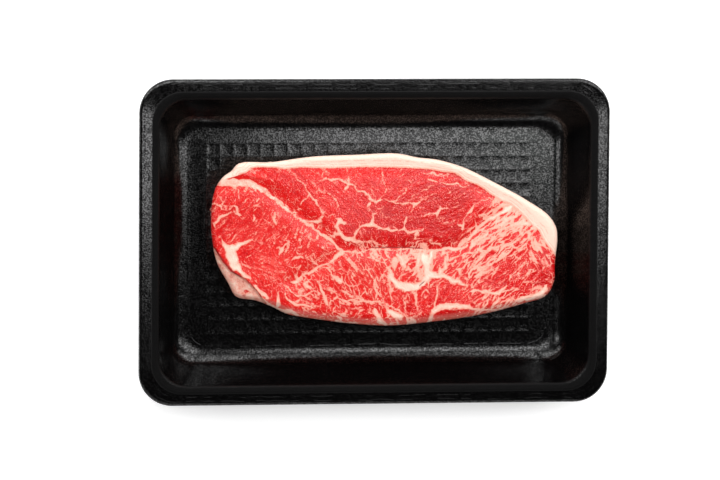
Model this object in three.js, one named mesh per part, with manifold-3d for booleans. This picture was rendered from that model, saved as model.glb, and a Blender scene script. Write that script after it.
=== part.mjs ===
import * as THREE from 'three';
import { ParametricGeometry } from 'three/addons/geometries/ParametricGeometry.js';
import { mergeVertices } from 'three/addons/utils/BufferGeometryUtils.js';
import Module from 'manifold-3d';

// A marbled beef steak lying in a shallow foam meat tray. Millimetres, +X along the tray, +Y across it
// and +Z up. The origin is the middle of the tray's underside.

// Tray, outside
const TRAY_LENGTH = 210;
const TRAY_WIDTH = 144.6;
const TRAY_HEIGHT = 26;
const TRAY_CORNER_RADIUS = 15;

// Tray, walls and rim
const RIM_WIDTH = 6.2;
const RIM_THICKNESS = 3.6;
const RIM_FALL = THREE.MathUtils.degToRad(14);
const FOOT_FILLET = 9;
const LIP_FILLET = 3;
const UNDER_RIM_FILLET = 1.5;

// Tray, floor
const FLOOR_LENGTH = 162.6;
const FLOOR_WIDTH = 97.2;
const FLOOR_CORNER_RADIUS = 9;
const FOAM_THICKNESS = 4;

// Waffle of small raised ribs that keeps the meat off the floor
const RIB_PITCH = 6.1;
const RIB_COLUMNS = 24;
const RIB_ROWS = 14;
const RIB_HEIGHT = 0.15;
const RIB_HALF_WIDTH = 1.5;
const RIB_SUNK = 0.05;

// Steak
const STEAK_REST_GAP = 0.3;
const STEAK_THICKNESS = 16.4;
const EDGE_ROLL = 2.2;
const FRONT_EDGE_ROLL = 5;
const BOTTOM_ROLL = 2.4;
const SIDE_LEAN = 0.14;
const SEAM_DEPTH = 0.8;
const SEAM_REACH = 3.5;
const FLAP_STEP = 1.5;
const FLAP_SLOPE = 0.35;
const SWELL_HEIGHT = 0.35;
const STEAK_REST = FOAM_THICKNESS + RIB_HEIGHT + STEAK_REST_GAP;
const STEAK_BELLY = STEAK_REST + BOTTOM_ROLL;

// Outline of the steak seen from above, once round from the right-hand end
const STEAK_OUTLINE = [
  [82.6, 1], [82, 5.4], [78.6, 10.8], [68, 18.1], [54, 25.7], [40, 32.5], [28, 36], [20, 36.9],
  [10, 38.8], [-8, 38.3], [-28, 37.5], [-46, 35.2], [-60.4, 34.7], [-63.7, 31.4], [-67.6, 28.4],
  [-71.2, 22], [-72.6, 9], [-71.4, -2.5], [-69.2, -10.3], [-64.4, -18.8], [-60.6, -24.9],
  [-52, -26.6], [-45.5, -29], [-38, -32.6], [-24, -35.2], [-8, -37.3], [8, -38.2], [26, -36.7],
  [42, -34.7], [56, -32], [68, -28.7], [77.5, -25.3], [81.2, -19], [81.7, -11],
];

// The four outline points that act as corners of the cut face, by their place in the list above
const CORNER = { backRight: 2, backLeft: 12, frontLeft: 20, frontRight: 31 };

// Seams of fat between the muscles, which lie a little lower than the lean
const SEAMS = [
  [[-70, 24.8], [-54, 25.5], [-45, 21], [-36, 13.5], [-24, 5], [-15, -3.5]],
  [[-54, 32.5], [-30, 33], [-8, 33], [18, 32.6], [38, 28.5], [51, 21], [62, 15.4], [74, 4], [82, -9]],
  [[-15, -3.5], [0, -3.4], [17, -3.6], [28, -4.2], [38, -3], [46, 3.5], [55, 11], [60, 15]],
  [[-15, -3.5], [-24, -11], [-37, -18.5]],
];

// Step between the cut face and the flap of fat at the front left corner
const FLAP_CREASE = [
  [-76, 4], [-70.2, -3.6], [-67, -8.8], [-63.6, -12.8], [-57, -16.4], [-52.5, -21], [-48, -27], [-45, -34],
];

// Rings down the steak's side, which leans in a little: the share fallen from the rolled edge to the
// belly, then the turn of the roll that tucks in under the meat
const SIDE_RINGS = [
  { fall: 0.5, turn: 0 },
  { fall: 1, turn: 0 },
  { fall: 1, turn: Math.PI / 6 },
  { fall: 1, turn: Math.PI / 3 },
  { fall: 1, turn: Math.PI / 2 },
];

// How finely the curves are cut into flat faces
const TRAY_CORNER_STEPS = 8;
const FOOT_STEPS = 5;
const LIP_STEPS = 3;
const RIM_EDGE_STEPS = 6;
const FACE_COLUMNS = 48;
const FACE_ROWS = 26;
const FACE_EDGE_CROWDING = 0.72;
const OUTLINE_SAMPLES = 80;

// Closes a geometry into one body: equal corners are joined and faces without area dropped
function sealed(geometry) {
  const bare = geometry.clone();
  bare.deleteAttribute('normal');
  bare.deleteAttribute('uv');
  const merged = mergeVertices(bare, 1e-4);
  const corners = merged.index.array;
  const kept = [];
  for (let k = 0; k < corners.length; k += 3) {
    const [a, b, c] = [corners[k], corners[k + 1], corners[k + 2]];
    if (a !== b && b !== c && c !== a) kept.push(a, b, c);
  }
  merged.setIndex(kept);
  return merged;
}

// The two solids joined into one, as a geometry
function union(wasm, first, second) {
  const [a, b] = [first, second].map((geometry) => new wasm.Manifold(new wasm.Mesh({
    numProp: 3,
    vertProperties: new Float32Array(geometry.attributes.position.array),
    triVerts: new Uint32Array(geometry.index.array),
  })));
  const mesh = a.add(b).getMesh();
  const joined = new THREE.BufferGeometry();
  joined.setAttribute('position', new THREE.BufferAttribute(mesh.vertProperties, 3));
  joined.setIndex(new THREE.BufferAttribute(mesh.triVerts, 1));
  return joined;
}

// One geometry from corner points and the triples of corners that make its faces
function geometryOf(points, faces) {
  const geometry = new THREE.BufferGeometry();
  geometry.setAttribute('position', new THREE.Float32BufferAttribute(points.flat(), 3));
  geometry.setIndex(faces.flat());
  return geometry;
}

// Places on the edge of a grid, once round it counter-clockwise
function gridBorder(columns, rows) {
  const front = Array.from({ length: columns }, (_, i) => [i, 0]);
  const right = Array.from({ length: rows }, (_, j) => [columns, j]);
  const back = front.map(([i]) => [columns - i, rows]);
  const left = right.map(([, j]) => [0, rows - j]);
  return [...front, ...right, ...back, ...left];
}

// Points on an arc in the plane of distance and height, angles from straight down towards outside
function arc(centre, radius, from, to, steps) {
  return Array.from({ length: steps + 1 }, (_, k) => {
    const angle = THREE.MathUtils.lerp(from, to, k / steps);
    return new THREE.Vector2(
      centre.x + radius * Math.sin(angle),
      centre.y - radius * Math.cos(angle),
    );
  });
}

// Section through the tray's side from its inner floor over the rim to its underside. x is the
// distance outwards from the flat floor's edge and y the height. The rim falls a little outwards.
function traySection() {
  const run = (TRAY_LENGTH - FLOOR_LENGTH) / 2;
  const foot = new THREE.Vector2(0, FOAM_THICKNESS + FOOT_FILLET);
  const lip = new THREE.Vector2(run - RIM_WIDTH, TRAY_HEIGHT - LIP_FILLET);
  const between = lip.clone().sub(foot);
  const slope = between.angle() + Math.asin((FOOT_FILLET + LIP_FILLET) / between.length());
  const wallDirection = new THREE.Vector2(Math.cos(slope), Math.sin(slope));
  const underside = arc(foot, FOOT_FILLET + FOAM_THICKNESS, 0, slope, FOOT_STEPS);
  const wallFoot = underside[FOOT_STEPS];
  const rimEdge = RIM_THICKNESS / 2;
  const rimNormal = new THREE.Vector2(Math.sin(RIM_FALL), Math.cos(RIM_FALL));
  const edge = lip.clone().addScaledVector(rimNormal, LIP_FILLET - rimEdge);
  edge.y -= (run - rimEdge - edge.x) * Math.tan(RIM_FALL);
  edge.x = run - rimEdge;
  const rimUnder = edge.y - rimEdge;
  const reach = (rimUnder - UNDER_RIM_FILLET - wallFoot.y) / wallDirection.y;
  const wallTop = wallFoot.clone().addScaledVector(wallDirection, reach);
  return [
    ...arc(foot, FOOT_FILLET, 0, slope, FOOT_STEPS),
    ...arc(lip, -LIP_FILLET, slope, 0, LIP_STEPS),
    ...arc(lip, -LIP_FILLET, 0, -RIM_FALL, 1).slice(1),
    ...arc(edge, rimEdge, Math.PI - RIM_FALL, Math.PI / 2, RIM_EDGE_STEPS / 2),
    ...arc(edge, rimEdge, Math.PI / 2, 0, RIM_EDGE_STEPS / 2).slice(1),
    new THREE.Vector2(wallTop.x + UNDER_RIM_FILLET, rimUnder),
    wallTop,
    ...underside.reverse(),
  ];
}

// Ring round the tray at a distance outside the flat floor's edge: a rectangle with round corners that
// grows from the floor's own shape to the rim's. turn runs once round from 0 to 1.
function trayRing(distance, turn, target) {
  const grown = (2 * distance) / (TRAY_LENGTH - FLOOR_LENGTH);
  const halfLength = THREE.MathUtils.lerp(FLOOR_LENGTH, TRAY_LENGTH, grown) / 2;
  const halfWidth = THREE.MathUtils.lerp(FLOOR_WIDTH, TRAY_WIDTH, grown) / 2;
  const radius = THREE.MathUtils.lerp(FLOOR_CORNER_RADIUS, TRAY_CORNER_RADIUS, grown);
  const perCorner = TRAY_CORNER_STEPS + 1;
  const step = Math.round(turn * 4 * perCorner) % (4 * perCorner);
  const corner = Math.floor(step / perCorner);
  const angle = (Math.PI / 2) * (corner + (step % perCorner) / TRAY_CORNER_STEPS);
  const sideX = corner === 0 || corner === 3 ? 1 : -1;
  const sideY = corner < 2 ? 1 : -1;
  target.x = sideX * (halfLength - radius) + radius * Math.cos(angle);
  target.y = sideY * (halfWidth - radius) + radius * Math.sin(angle);
}

// Foam body of the tray: the section carried round, closed at the middle of floor and underside
function trayBody() {
  const section = traySection();
  const stations = section.length + 1;
  const geometry = new ParametricGeometry((u, v, target) => {
    const station = Math.round(v * stations) - 1;
    if (station < 0) {
      target.set(0, 0, FOAM_THICKNESS);
    } else if (station >= section.length) {
      target.set(0, 0, 0);
    } else {
      trayRing(section[station].x, 1 - u, target);
      target.z = section[station].y;
    }
  }, 4 * (TRAY_CORNER_STEPS + 1), stations);
  return sealed(geometry);
}

// Waffle of raised ribs: every cell is a square pit between four ridges. Its pits and its outer skirt lie
// just inside the floor, and its underside is a shallow pyramid that ends in the floor's thickness.
function ribWaffle() {
  const ridge = FOAM_THICKNESS + RIB_HEIGHT;
  const pit = FOAM_THICKNESS - RIB_SUNK;
  const slopeWidth = RIB_HALF_WIDTH * (1 + RIB_SUNK / RIB_HEIGHT);
  const halfLength = (RIB_COLUMNS * RIB_PITCH) / 2;
  const halfWidth = (RIB_ROWS * RIB_PITCH) / 2;
  const points = [];
  const faces = [];
  const add = (x, y, z) => points.push([x, y, z]) - 1;
  const quad = (a, b, c, d) => faces.push([a, b, c], [a, c, d]);

  const crossing = Array.from({ length: RIB_COLUMNS + 1 }, (_, i) => (
    Array.from({ length: RIB_ROWS + 1 }, (_, j) => (
      add(i * RIB_PITCH - halfLength, j * RIB_PITCH - halfWidth, ridge)
    ))
  ));
  for (let i = 0; i < RIB_COLUMNS; i += 1) {
    for (let j = 0; j < RIB_ROWS; j += 1) {
      const ring = [crossing[i][j], crossing[i + 1][j], crossing[i + 1][j + 1], crossing[i][j + 1]];
      const middle = [(i + 0.5) * RIB_PITCH - halfLength, (j + 0.5) * RIB_PITCH - halfWidth];
      const half = RIB_PITCH / 2 - slopeWidth;
      const floor = [[-1, -1], [1, -1], [1, 1], [-1, 1]].map(([sx, sy]) => (
        add(middle[0] + sx * half, middle[1] + sy * half, pit)
      ));
      quad(...floor);
      for (let k = 0; k < 4; k += 1) {
        const next = (k + 1) % 4;
        quad(ring[k], ring[next], floor[next], floor[k]);
      }
    }
  }

  const border = gridBorder(RIB_COLUMNS, RIB_ROWS);
  const outwards = (place, last) => slopeWidth * ((place === last ? 1 : 0) - (place === 0 ? 1 : 0));
  const skirt = border.map(([i, j]) => {
    const [x, y] = points[crossing[i][j]];
    return add(x + outwards(i, RIB_COLUMNS), y + outwards(j, RIB_ROWS), pit);
  });
  const apex = add(0, 0, FOAM_THICKNESS / 4);
  border.forEach(([i, j], k) => {
    const next = (k + 1) % border.length;
    const [nextI, nextJ] = border[next];
    quad(skirt[k], skirt[next], crossing[nextI][nextJ], crossing[i][j]);
    faces.push([skirt[next], skirt[k], apex]);
  });
  return geometryOf(points, faces);
}

// Smooth closed curve through the outline's points
const steakCurve = new THREE.CatmullRomCurve3(
  STEAK_OUTLINE.map(([x, y]) => new THREE.Vector3(x, y, 0)),
  true,
  'centripetal',
);

// Stretch of the outline from one corner to another, as a path with points spaced by length
function outlineStretch(first, last) {
  const points = Array.from({ length: OUTLINE_SAMPLES + 1 }, (_, k) => {
    const place = THREE.MathUtils.lerp(first, last, k / OUTLINE_SAMPLES) / STEAK_OUTLINE.length;
    const { x, y } = steakCurve.getPoint(THREE.MathUtils.euclideanModulo(place, 1));
    return new THREE.Vector2(x, y);
  });
  return new THREE.Path().setFromPoints(points);
}

const edge = {
  front: outlineStretch(CORNER.frontLeft, CORNER.frontRight),
  back: outlineStretch(CORNER.backLeft, CORNER.backRight),
  left: outlineStretch(CORNER.frontLeft, CORNER.backLeft),
  right: outlineStretch(CORNER.frontRight, CORNER.backRight + STEAK_OUTLINE.length),
};

// Shares 0 to 1 out so that steps crowd towards both ends
function crowded(share) {
  return share - (FACE_EDGE_CROWDING * Math.sin(2 * Math.PI * share)) / (2 * Math.PI);
}

// Point of the cut face in plan: a patch blended between the four stretches of the outline
function facePoint(u, v) {
  const [front, back] = [edge.front.getPointAt(u), edge.back.getPointAt(u)];
  const [left, right] = [edge.left.getPointAt(v), edge.right.getPointAt(v)];
  const corners = [[0, 0], [1, 0], [0, 1], [1, 1]].map(([cu, cv]) => (
    (cv ? edge.back : edge.front).getPointAt(cu).multiplyScalar(
      (cu ? u : 1 - u) * (cv ? v : 1 - v),
    )
  ));
  const point = front.multiplyScalar(1 - v).addScaledVector(back, v)
    .addScaledVector(left, 1 - u).addScaledVector(right, u);
  corners.forEach((corner) => point.sub(corner));
  return point;
}

// Distance from a point to a run of straight stretches, positive to the left of the run
function distanceTo(run, point) {
  let best = Infinity;
  for (let k = 1; k < run.length; k += 1) {
    const along = run[k].clone().sub(run[k - 1]);
    const from = point.clone().sub(run[k - 1]);
    const share = THREE.MathUtils.clamp(from.dot(along) / along.lengthSq(), 0, 1);
    const side = Math.sign(along.cross(from)) || 1;
    const distance = from.addScaledVector(along, -share).length();
    if (distance < Math.abs(best)) best = side * distance;
  }
  return best;
}

const asRun = (points) => points.map(([x, y]) => new THREE.Vector2(x, y));
const seamRuns = SEAMS.map(asRun);
const creaseRun = asRun(FLAP_CREASE);
const outlineRun = steakCurve.getPoints(4 * STEAK_OUTLINE.length).map(({ x, y }) => new THREE.Vector2(x, y));

// Height of the steak's upper surface: a flat cut with a broad swell, valleys along the seams, a step
// down to the flap, and an edge that rolls over in a quarter round
function topHeight(point) {
  const { smoothstep } = THREE.MathUtils;
  const swell = SWELL_HEIGHT * Math.cos(point.x / 16 + 0.6) * Math.cos(point.y / 13);
  const seam = Math.min(...seamRuns.map((run) => Math.abs(distanceTo(run, point))));
  const valley = SEAM_DEPTH * Math.exp(-((seam / SEAM_REACH) ** 2));
  const beyond = -distanceTo(creaseRun, point);
  const flap = beyond > 0 ? FLAP_STEP * smoothstep(beyond, 0, 1) + FLAP_SLOPE * beyond : 0;
  const roll = THREE.MathUtils.lerp(EDGE_ROLL, FRONT_EDGE_ROLL, smoothstep(-point.y, 22, 31));
  const short = Math.max(0, roll - Math.abs(distanceTo(outlineRun, point)));
  const rolled = roll - Math.sqrt(Math.max(0, roll * roll - short * short));
  return STEAK_REST + STEAK_THICKNESS + swell - valley - flap - rolled;
}

// Steak: the cut face as a grid, side rings down from its border, and a flat underside
function steakBody() {
  const points = [];
  const faces = [];
  const add = (x, y, z) => points.push([x, y, z]) - 1;
  const grid = Array.from({ length: FACE_COLUMNS + 1 }, (_, i) => (
    Array.from({ length: FACE_ROWS + 1 }, (_, j) => {
      const point = facePoint(crowded(i / FACE_COLUMNS), crowded(j / FACE_ROWS));
      return add(point.x, point.y, topHeight(point));
    })
  ));
  for (let i = 0; i < FACE_COLUMNS; i += 1) {
    for (let j = 0; j < FACE_ROWS; j += 1) {
      const [a, b, c, d] = [grid[i][j], grid[i + 1][j], grid[i + 1][j + 1], grid[i][j + 1]];
      faces.push([a, b, c], [a, c, d]);
    }
  }

  const border = gridBorder(FACE_COLUMNS, FACE_ROWS).map(([i, j]) => grid[i][j]);
  const size = border.length;
  const inward = border.map((_, k) => {
    const [ax, ay] = points[border[(k + size - 1) % size]];
    const [bx, by] = points[border[(k + 1) % size]];
    return new THREE.Vector2(ay - by, bx - ax).normalize();
  });

  let upper = border;
  SIDE_RINGS.forEach(({ fall, turn }) => {
    const lower = border.map((corner, k) => {
      const [x, y, z] = points[corner];
      const fallen = (z - STEAK_BELLY) * fall;
      const tuck = SIDE_LEAN * fallen + BOTTOM_ROLL * (1 - Math.cos(turn));
      const height = z - fallen - BOTTOM_ROLL * Math.sin(turn);
      return add(x + inward[k].x * tuck, y + inward[k].y * tuck, height);
    });
    for (let k = 0; k < size; k += 1) {
      const next = (k + 1) % size;
      faces.push([upper[k], lower[k], lower[next]], [upper[k], lower[next], upper[next]]);
    }
    upper = lower;
  });
  const middle = add(0, 0, STEAK_REST);
  for (let k = 0; k < size; k += 1) faces.push([middle, upper[(k + 1) % size], upper[k]]);
  return geometryOf(points, faces);
}

const foam = new THREE.MeshStandardMaterial({ color: 0x1a1818, roughness: 0.62, metalness: 0 });
const beef = new THREE.MeshStandardMaterial({ color: 0xc24a42, roughness: 0.42, metalness: 0 });

const wasm = await Module();
wasm.setup();

const tray = new THREE.Mesh(union(wasm, trayBody(), ribWaffle()), foam);
tray.name = 'tray';

const steak = new THREE.Mesh(steakBody(), beef);
steak.name = 'steak';

const group = new THREE.Group();
group.add(tray, steak);

export default group;
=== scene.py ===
# %% [markdown]
# # A raw beef steak in a black foam tray
# The object is a shallow tray of expanded polystyrene with one marbled steak lying in it. The CAD model
# holds both pieces at their real size. Here each is made again as a much finer surface on the same
# dimensions, because the look of the meat is in its marbling, its wet skin and its rounded edges.

# %% Load the frame
import math

import bpy
import numpy as np
from mathutils import Matrix, Vector


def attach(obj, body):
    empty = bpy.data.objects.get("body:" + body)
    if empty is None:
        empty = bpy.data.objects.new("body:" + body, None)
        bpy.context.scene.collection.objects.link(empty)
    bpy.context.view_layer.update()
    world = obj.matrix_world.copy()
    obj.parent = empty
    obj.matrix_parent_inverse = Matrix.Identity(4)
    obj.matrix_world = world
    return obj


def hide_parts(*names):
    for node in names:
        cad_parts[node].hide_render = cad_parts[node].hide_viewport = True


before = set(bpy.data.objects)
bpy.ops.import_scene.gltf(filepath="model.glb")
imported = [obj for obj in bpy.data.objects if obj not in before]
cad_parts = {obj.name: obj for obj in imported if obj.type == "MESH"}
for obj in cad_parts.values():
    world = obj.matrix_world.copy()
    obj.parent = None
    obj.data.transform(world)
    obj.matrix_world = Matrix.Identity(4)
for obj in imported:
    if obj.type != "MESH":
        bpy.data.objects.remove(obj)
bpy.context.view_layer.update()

# %% [markdown]
# ## Tools for surfaces
# Each piece is worked out with numpy in millimetres and becomes a mesh at the end. Both pieces are built
# from the same two parts: a grid that is seen from above, and rings that run on from its border.

# %% Tools for surfaces
MM = 0.001


def smoothstep(value, low, high):
    """Rises from 0 at low to 1 at high along 3 t^2 - 2 t^3."""
    share = np.clip((value - low) / (high - low), 0, 1)
    return share * share * (3 - 2 * share)


def arc(centre, radius, start, end, steps):
    """Points centre + radius (sin a, -cos a), for angles a from start to end."""
    angle = np.linspace(start, end, steps + 1)
    return np.asarray(centre) + radius * np.stack([np.sin(angle), -np.cos(angle)], axis=1)


def grid_border(index):
    """Numbers on the edge of a grid, once round it counter-clockwise from its first corner."""
    return np.concatenate([index[:-1, 0], index[-1, :-1], index[:0:-1, -1], index[0, :0:-1]])


def grid_faces(index):
    """Quads between neighbouring places of a grid of point numbers."""
    corners = [index[:-1, :-1], index[1:, :-1], index[1:, 1:], index[:-1, 1:]]
    return np.stack(corners, axis=-1).reshape(-1, 4)


def ring_faces(rings):
    """Quads between each ring of point numbers and the next, closed round the ring."""
    after = np.roll(rings, -1, axis=1)
    return np.stack([rings[:-1], rings[1:], after[1:], after[:-1]], axis=-1).reshape(-1, 4)


def fan_faces(ring, middle):
    """Triangles from a ring of point numbers to one point in its middle."""
    return np.stack([ring, np.full_like(ring, middle), np.roll(ring, -1)], axis=1)


def make_piece(name, points, quads, triangles):
    """An object at the origin whose smooth mesh has these points, in millimetres, and these faces."""
    mesh = bpy.data.meshes.new(name)
    mesh.from_pydata((points * MM).tolist(), [], quads.tolist() + triangles.tolist())
    mesh.shade_smooth()
    piece = bpy.data.objects.new(name, mesh)
    bpy.context.collection.objects.link(piece)
    size = (points.max(axis=0) - points.min(axis=0)).round(1)
    print(f"{name}: {len(points)} points, {2 * len(quads) + len(triangles)} triangles, {size} mm")
    return piece


def paint(piece, name, values):
    """Stores one number per point of a piece, for its material to read."""
    layer = piece.data.attributes.new(name, "FLOAT", "POINT")
    layer.data.foreach_set("value", np.asarray(values, dtype=np.float32))


# %% [markdown]
# ## The tray's section
# A foam tray is pressed from a warm sheet, so its wall has one thickness everywhere and every bend is
# round. One section is enough for the whole tray: out along the floor, up the wall, over the lip, round
# the rim's edge and back under it. The rim falls a little outwards.

# %% Section of the tray's side
TRAY_SIZE = np.array((210.0, 144.6))
TRAY_HEIGHT = 26.0
TRAY_CORNER_RADIUS = 15.0
RIM_WIDTH = 6.2
RIM_THICKNESS = 3.6
RIM_FALL = math.radians(14)
FOOT_FILLET = 9.0
LIP_FILLET = 3.0
FLOOR_SIZE = np.array((162.6, 97.2))
FLOOR_CORNER_RADIUS = 9.0
FOAM_THICKNESS = 4.0
WALL_RUN = (TRAY_SIZE[0] - FLOOR_SIZE[0]) / 2
RIM_BEND_OUT = 2.0
RIM_BEND_DOWN = 1.6
FOOT_STEPS, LIP_STEPS, EDGE_STEPS, OUTER_FOOT_STEPS = 14, 12, 14, 12


def points_between(first, last, count):
    """Evenly spaced points on the way from one point to another, without these two."""
    return np.linspace(first, last, count + 2)[1:-1]


def tray_section():
    """Points of distance and height. The wall is the common tangent of the foot's circle and the lip's,
    and the underside is the same line one foam thickness further out."""
    foot = np.array((0, FOAM_THICKNESS + FOOT_FILLET))
    lip = np.array((WALL_RUN - RIM_WIDTH, TRAY_HEIGHT - LIP_FILLET))
    between = lip - foot
    slope = math.atan2(between[1], between[0]) + math.asin((FOOT_FILLET + LIP_FILLET) / np.hypot(*between))
    wall = np.array((math.cos(slope), math.sin(slope)))
    edge_radius = RIM_THICKNESS / 2
    edge = lip + (LIP_FILLET - edge_radius) * np.array((math.sin(RIM_FALL), math.cos(RIM_FALL)))
    edge[1] -= (WALL_RUN - edge_radius - edge[0]) * math.tan(RIM_FALL)
    edge[0] = WALL_RUN - edge_radius
    inside = arc(foot, FOOT_FILLET, 0, slope, FOOT_STEPS)
    over_lip = arc(lip, -LIP_FILLET, slope, -RIM_FALL, LIP_STEPS)
    wall_inside = points_between(inside[-1], over_lip[0], 7)
    rim_edge = arc(edge, edge_radius, math.pi - RIM_FALL, 0, EDGE_STEPS)
    rim_top = points_between(over_lip[-1], rim_edge[0], 3)
    underside = arc(foot, FOOT_FILLET + FOAM_THICKNESS, slope, 0, OUTER_FOOT_STEPS)
    corner = underside[0] + wall * (edge[1] - edge_radius - underside[0][1]) / wall[1]
    blend = np.linspace(0, 1, 7)[:, None]
    under_rim = (1 - blend) ** 2 * (corner + (RIM_BEND_OUT, 0)) + 2 * blend * (1 - blend) * corner
    under_rim += blend ** 2 * (corner - RIM_BEND_DOWN * wall)
    wall_outside = points_between(under_rim[-1], underside[0], 4)
    return np.vstack([inside, wall_inside, over_lip, rim_top, rim_edge, under_rim, wall_outside, underside])


section = tray_section()
print(f"section: {len(section)} points, {section[:, 1].min():.1f} to {section[:, 1].max():.1f} mm high")

# %% [markdown]
# ## The tray's floor and rings
# A waffle of small ribs on the floor keeps the meat out of its juice. The floor is a grid whose lines
# crowd round the ribs, so that few faces give a round rib. Every ring outside it has as many points as
# the grid's border, and grows from the floor's outline to the rim's.

# %% Floor with ribs and rings round it
RIB_PITCH = 6.1
RIB_CELLS = (24, 14)
RIB_HEIGHT = 0.1
RIB_HALF_WIDTH = 1.5
RIB_LINES = np.array((0, 0.5, 1.0, 1.5, 4.6, 5.1, 5.6))
SKIRT_STEPS = (0.5, 1.0, 1.5)
CORNER_HALF_STEPS = 8
# Painted on the grid and the skirts as their distance from the floor's edge, to keep creases off them
GRID_ACROSS, SKIRT_ACROSS = -6.0, -4.0


def rib_height(distance):
    """Falls evenly from the full height on the rib's line to nothing at its half width."""
    return RIB_HEIGHT * np.clip(1 - distance / RIB_HALF_WIDTH, 0, 1)


def rib_lines(cells):
    """Places of the grid's lines along one side, and their distance from the nearest rib."""
    lines = (np.arange(cells)[:, None] * RIB_PITCH + RIB_LINES).ravel()
    lines = np.append(lines, cells * RIB_PITCH)
    return lines - cells * RIB_PITCH / 2, np.minimum(lines % RIB_PITCH, -lines % RIB_PITCH)


def ring_turns(counts):
    """For each point of a ring, the way to its corner circle's centre and its angle on that circle.
    A side's first and last steps turn by 45 degrees, and those between run straight."""
    centres, angles = [], []
    for side, count in enumerate(counts * 2):
        step = np.arange(count)
        along = 2 * np.clip((step - CORNER_HALF_STEPS) / (count - 2 * CORNER_HALF_STEPS), 0, 1) - 1
        turned = np.clip(step / CORNER_HALF_STEPS - 1, -1, 0)
        turned += np.clip((step - count) / CORNER_HALF_STEPS + 1, 0, 1)
        facing = (side - 1) * math.pi / 2
        out = np.array((round(math.cos(facing)), round(math.sin(facing))))
        centres.append(along[:, None] * (-out[1], out[0]) + out)
        angles.append(facing + turned * math.pi / 4)
    return np.vstack(centres), np.concatenate(angles)


def tray_rings(section):
    """Every ring of the tray: a rectangle with round corners at each distance, at the section's height."""
    centres, angles = ring_turns([len(RIB_LINES) * cells for cells in RIB_CELLS])
    grown = (section[:, 0] / WALL_RUN)[:, None, None]
    radius = FLOOR_CORNER_RADIUS + grown * (TRAY_CORNER_RADIUS - FLOOR_CORNER_RADIUS)
    half = (FLOOR_SIZE + grown * (TRAY_SIZE - FLOOR_SIZE)) / 2
    flat = centres * (half - radius) + radius * np.stack([np.cos(angles), np.sin(angles)], axis=1)
    height = np.broadcast_to(section[:, 1, None, None], (*flat.shape[:2], 1))
    return np.concatenate([flat, height], axis=2)


def make_tray():
    """The floor's grid, rings down the outer ribs, the section's rings and a flat underside."""
    (x, near_x), (y, near_y) = (rib_lines(cells) for cells in RIB_CELLS)
    ribs = np.maximum(rib_height(near_x)[:, None], rib_height(near_y)[None, :])
    floor = np.stack([*np.meshgrid(x, y, indexing="ij"), FOAM_THICKNESS + ribs], axis=-1)
    index = np.arange(ribs.size).reshape(ribs.shape)
    border = grid_border(index)
    half = np.array((x[-1], y[-1]))
    skirts = []
    for out in SKIRT_STEPS:
        flat = floor.reshape(-1, 3)[border, :2] * (half + out) / half
        skirts.append(np.column_stack([flat, np.full(len(flat), FOAM_THICKNESS + rib_height(out))]))
    rings = np.concatenate([np.array(skirts), tray_rings(section)])
    numbers = ribs.size + np.arange(rings[..., 0].size).reshape(rings.shape[:2])
    points = np.vstack([floor.reshape(-1, 3), rings.reshape(-1, 3), (0, 0, 0)])
    quads = np.vstack([grid_faces(index), ring_faces(np.vstack([border, numbers]))])
    tray = make_piece("foam_tray", points, quads, fan_faces(numbers[-1], len(points) - 1))
    inner = [np.full(ribs.size, GRID_ACROSS), np.full(len(SKIRT_STEPS) * len(border), SKIRT_ACROSS)]
    paint(tray, "across", np.concatenate([*inner, np.repeat(section[:, 0], len(border)), [0]]))
    return tray


tray = make_tray()

# %% [markdown]
# ## The steak's outline
# A steak is a slice across several muscles. Its outline is drawn through a few listed points, as a
# smooth curve. The cut face is a patch blended between four stretches of that outline, so its grid
# follows the edge all the way round, where a plain square grid would leave steps.

# %% Outline and cut face in plan
STEAK_OUTLINE = np.array([
    (82.6, 1), (82, 5.4), (78.6, 10.8), (68, 18.1), (54, 25.7), (40, 32.5), (28, 36), (20, 36.9),
    (10, 38.8), (-8, 38.3), (-28, 37.5), (-46, 35.2), (-60.4, 34.7), (-63.7, 31.4), (-67.6, 28.4),
    (-71.2, 22), (-72.6, 9), (-71.4, -2.5), (-69.2, -10.3), (-64.4, -18.8), (-60.6, -24.9),
    (-52, -26.6), (-45.5, -29), (-38, -32.6), (-24, -35.2), (-8, -37.3), (8, -38.2), (26, -36.7),
    (42, -34.7), (56, -32), (68, -28.7), (77.5, -25.3), (81.2, -19), (81.7, -11),
])
BACK_RIGHT, BACK_LEFT, FRONT_LEFT, FRONT_RIGHT = 2, 12, 20, 31
FACE_CELLS = (384, 192)
FACE_EDGE_CROWDING = 0.35


def outline_at(place):
    """Centripetal Catmull-Rom curve through the outline's points; place counts points from the first."""
    start = np.floor(place).astype(int)
    before, first, second, after = (STEAK_OUTLINE[(start + k) % len(STEAK_OUTLINE)] for k in (-1, 0, 1, 2))
    gaps = [np.sqrt(np.linalg.norm(b - a, axis=1))[:, None]
            for a, b in ((before, first), (first, second), (second, after))]
    rise = second - first
    leave = (first - before) / gaps[0] - (second - before) / (gaps[0] + gaps[1]) + rise / gaps[1]
    arrive = rise / gaps[1] - (after - first) / (gaps[1] + gaps[2]) + (after - second) / gaps[2]
    leave, arrive = leave * gaps[1], arrive * gaps[1]
    t = (place - start)[:, None]
    square, cube = 3 * rise - 2 * leave - arrive, leave + arrive - 2 * rise
    return first + leave * t + square * t ** 2 + cube * t ** 3


def stretch(first, last, share):
    """Point at each share of the length of the outline between two of its points."""
    points = outline_at(np.linspace(first, last, 161))
    length = np.insert(np.cumsum(np.linalg.norm(np.diff(points, axis=0), axis=1)), 0, 0)
    return np.stack([np.interp(share * length[-1], length, points[:, k]) for k in (0, 1)], axis=1)


def crowded(cells):
    """Shares 0 to 1 whose steps crowd towards both ends: s - c sin(2 pi s) / (2 pi)."""
    share = np.linspace(0, 1, cells + 1)
    return share - FACE_EDGE_CROWDING * np.sin(2 * math.pi * share) / (2 * math.pi)


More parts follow.
